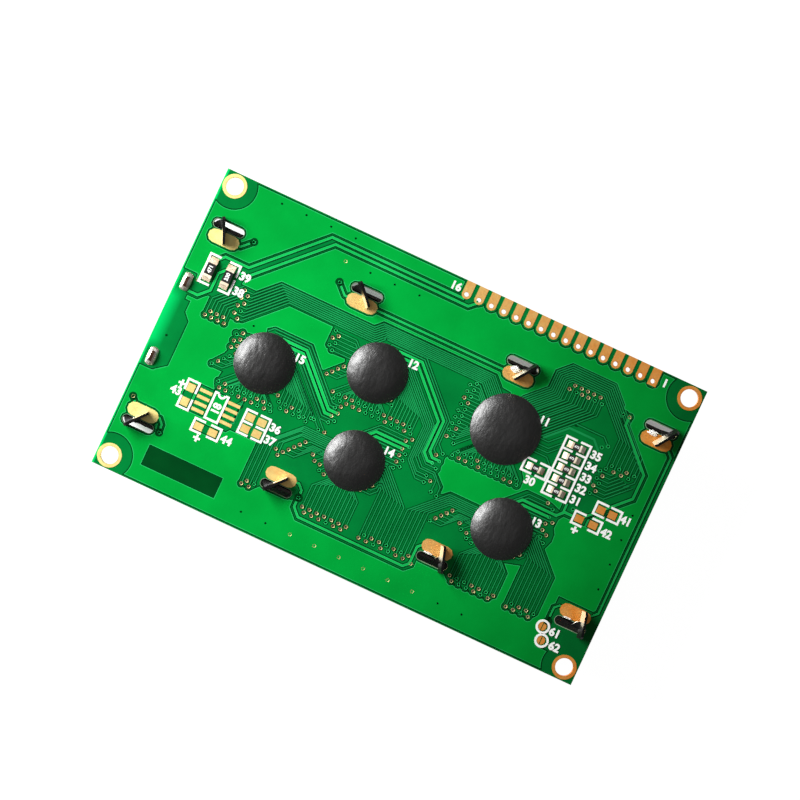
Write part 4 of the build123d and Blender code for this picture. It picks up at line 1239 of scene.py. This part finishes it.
class MODULE_OT_character_dots(bpy.types.Operator):
    """Show the unlit dots of every character behind the window"""
    bl_idname = "display_module.character_dots"
    bl_label = "Character dots"

    def execute(self, context):
        s = settings()
        mesh = bmesh.new()
        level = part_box("front_polariser")[0].z - 0.004 * MM
        for line in range(s.dot_rows):
            for column in range(s.dot_columns):
                x = (column - (s.dot_columns - 1) / 2) * CHARACTER_PITCH[0]
                y = (line - (s.dot_rows - 1) / 2) * CHARACTER_PITCH[1]
                add_grid(mesh, at(x, y, level), CHARACTER_SIZE, 5, 8)
        cells = mesh.faces[:]
        bmesh.ops.split_edges(mesh, edges=mesh.edges[:])
        bmesh.ops.inset_individual(mesh, faces=cells, thickness=DOT_GAP * MM)
        kept = set(cells)
        bmesh.ops.delete(mesh, geom=[f for f in mesh.faces if f not in kept], context="FACES")
        for face in mesh.faces:
            face.normal_flip()
        add_piece("character_dots", mesh, "display_film", FINISHES["dot_tint"])
        return {"FINISHED"}


def pale_floor():
    """Bright white card that stays dark under the bezel, with painted light under the upper slots and a
    painted shadow under the lower ones, and is open to light and to a camera from below.
    """
    material, tree, place = new_finish("pale_floor")
    parts = add_node(tree, "SeparateXYZ", {"Vector": place}).outputs
    paths = add_node(tree, "LightPath", {}).outputs
    seen = paths["Is Camera Ray"]
    for kind in ("Is Glossy Ray", "Is Transmission Ray"):
        seen = add_node(tree, "Math", {0: seen, 1: paths[kind]}, operation="MAXIMUM")
    aside = [add_node(tree, "Math", {0: parts[axis]}, operation="ABSOLUTE") for axis in ("X", "Y")]
    # bright only beside the bezel, with painted light under the upper slots: a glimmer of the white card
    beyond = [add_node(tree, "MapRange", {
        "Value": out, "From Min": reach * MM, "From Max": (reach + 0.5) * MM})
        for out, reach in zip(aside, SHADOW_REACH)]
    outside = add_node(tree, "Math", {0: beyond[0], 1: beyond[1]}, operation="MAXIMUM")
    upper = add_node(tree, "MapRange", {"Value": parts["Y"], "From Min": -12 * MM, "From Max": 12 * MM})
    painted_glimmer = add_node(tree, "Math", {0: upper, 1: 0.22}, operation="MULTIPLY")
    outside = add_node(tree, "Math", {0: outside, 1: painted_glimmer}, operation="MAXIMUM")
    share = add_node(tree, "Math", {0: seen, 1: outside}, operation="MULTIPLY")
    share = add_node(tree, "Math", {0: share, 1: 0.85}, operation="MULTIPLY")
    # painted shadow: the card under the lower slots is painted dark, but for the one at the left end
    lit = add_node(tree, "Math", {0: outside, 1: upper}, operation="MAXIMUM")
    painted_floor_shadow = add_node(tree, "MapRange", {
        "Value": parts["X"], "From Min": -36 * MM, "From Max": -30 * MM, "To Min": 0.93, "To Max": 0.2})
    tone = add_node(tree, "Mix", {"Factor": lit, 6: painted_floor_shadow, 7: (0.93, 0.93, 0.93, 1)}, data_type="RGBA")
    matt = add_node(tree, "BsdfDiffuse", {"Color": tone})
    white = add_node(tree, "Emission", {"Color": (1, 1, 1, 1), "Strength": 1.15})
    card = add_node(tree, "MixShader", {0: share, 1: matt, 2: white})
    # cut out where the bezel stands, so that the display can be lit and seen
    within = [add_node(tree, "Math", {0: out, 1: reach * MM}, operation="LESS_THAN")
              for out, reach in zip(aside, CUT_OUT_REACH)]
    covered = add_node(tree, "Math", {0: within[0], 1: within[1]}, operation="MULTIPLY")
    back = add_node(tree, "NewGeometry", {}).outputs["Backfacing"]
    looked = add_node(tree, "Math", {0: back, 1: paths["Is Camera Ray"]}, operation="MULTIPLY")
    clear = add_node(tree, "Math", {0: looked, 1: covered}, operation="MAXIMUM")
    glass = add_node(tree, "BsdfTransparent", {})
    shader = add_node(tree, "MixShader", {0: clear, 1: card, 2: glass})
    add_node(tree, "OutputMaterial", {"Surface": shader})
    return material


def studio_world():
    """Dim light all round, with a backdrop that is white to the eye and to what the underside mirrors."""
    world = bpy.data.worlds.new("studio")
    world.use_nodes = True
    tree = world.node_tree
    tree.nodes.clear()
    dim = add_node(tree, "Background", {"Color": (1, 1, 1, 1), "Strength": 0.14})
    bright = add_node(tree, "Background", {"Color": (1, 1, 1, 1), "Strength": 1.0})
    paths = add_node(tree, "LightPath", {}).outputs
    way = add_node(tree, "TexCoord", {}).outputs["Generated"]
    heading = add_node(tree, "SeparateXYZ", {"Vector": way}).outputs["Z"]
    downward = add_node(tree, "Math", {0: heading, 1: 0.0}, operation="LESS_THAN")
    seen = add_node(tree, "Math", {0: paths["Is Glossy Ray"], 1: downward}, operation="MULTIPLY")
    for kind in ("Is Camera Ray", "Is Transmission Ray"):
        seen = add_node(tree, "Math", {0: seen, 1: paths[kind]}, operation="MAXIMUM")
    backdrop = add_node(tree, "MixShader", {0: seen, 1: dim, 2: bright})
    add_node(tree, "OutputWorld", {"Surface": backdrop})
    return world


class MODULE_OT_stage(bpy.types.Operator):
    """Set the pale floor, the soft lamps and the camera over the board"""
    bl_idname = "display_module.stage"
    bl_label = "Stage"

    def execute(self, context):
        scene = context.scene
        mesh = bmesh.new()
        add_grid(mesh, Matrix(), (FLOOR_SIZE, FLOOR_SIZE))
        data = bpy.data.meshes.new("floor")
        mesh.to_mesh(data)
        mesh.free()
        data.materials.append(pale_floor())
        floor = bpy.data.objects.new("floor", data)
        scene.collection.objects.link(floor)
        scene.world = studio_world()

        # name, place in metres, size in metres, power in watts
        for name, spot, size, power in (
            ("left_lamp", (-0.33, 0.06, 0.18), (0.3, 0.12), settings().lamp_power),
            ("top_lamp", (-0.05, 0.1, 0.9), (0.8, 0.8), 0.25),
            ("face_lamp", (0.32, -0.32, -0.42), (0.4, 0.4), 4.0),
        ):
            light = bpy.data.lights.new(name, "AREA")
            light.shape = "RECTANGLE"
            light.size, light.size_y = size
            light.energy = power
            lamp = bpy.data.objects.new(name, light)
            lamp.location = spot
            lamp.rotation_euler = (LAMP_AIM - Vector(spot)).to_track_quat("-Z", "Y").to_euler()
            scene.collection.objects.link(lamp)

        camera = bpy.data.cameras.new("camera")
        camera.sensor_width = CAMERA_SENSOR
        camera.lens = CAMERA_LENS
        eye = bpy.data.objects.new("camera", camera)
        x, y = CAMERA_SPOT
        eye.location = (x * MM, y * MM, BOARD_HIGH.z + CAMERA_HEIGHT)
        eye.rotation_euler = (0, 0, math.radians(CAMERA_TURN))
        scene.collection.objects.link(eye)
        scene.camera = eye
        scene.view_settings.view_transform = "Standard"
        return {"FINISHED"}


OPERATORS = (
    MODULE_OT_finishes, MODULE_OT_copper_edges, MODULE_OT_fine_tracks, MODULE_OT_through_holes,
    MODULE_OT_dark_places, MODULE_OT_slot_rims, MODULE_OT_plated_barrels, MODULE_OT_legend,
    MODULE_OT_chip_marks, MODULE_OT_lead_joints, MODULE_OT_tab_glints, MODULE_OT_potted_chips,
    MODULE_OT_character_dots, MODULE_OT_stage,
)


class MODULE_PT_panel(bpy.types.Panel):
    bl_idname = "MODULE_PT_panel"
    bl_label = "Display Module"
    bl_space_type = "VIEW_3D"
    bl_region_type = "UI"
    bl_category = "Display Module"

    def draw(self, context):
        for operator in OPERATORS:
            self.layout.operator(operator.bl_idname)
        for name in ModuleSettings.__annotations__:
            self.layout.prop(context.scene.display_module, name)


CLASSES = (ModuleSettings, *OPERATORS, MODULE_PT_panel)


def register():
    for cls in CLASSES:
        bpy.utils.register_class(cls)
    bpy.types.Scene.display_module = PointerProperty(type=ModuleSettings)


def unregister():
    del bpy.types.Scene.display_module
    for cls in reversed(CLASSES):
        bpy.utils.unregister_class(cls)


def main():
    """Build the whole scene."""
    register()
    for operator in OPERATORS:
        group, name = operator.bl_idname.split(".")
        getattr(getattr(bpy.ops, group), name)()


if __name__ == "__main__":
    main()
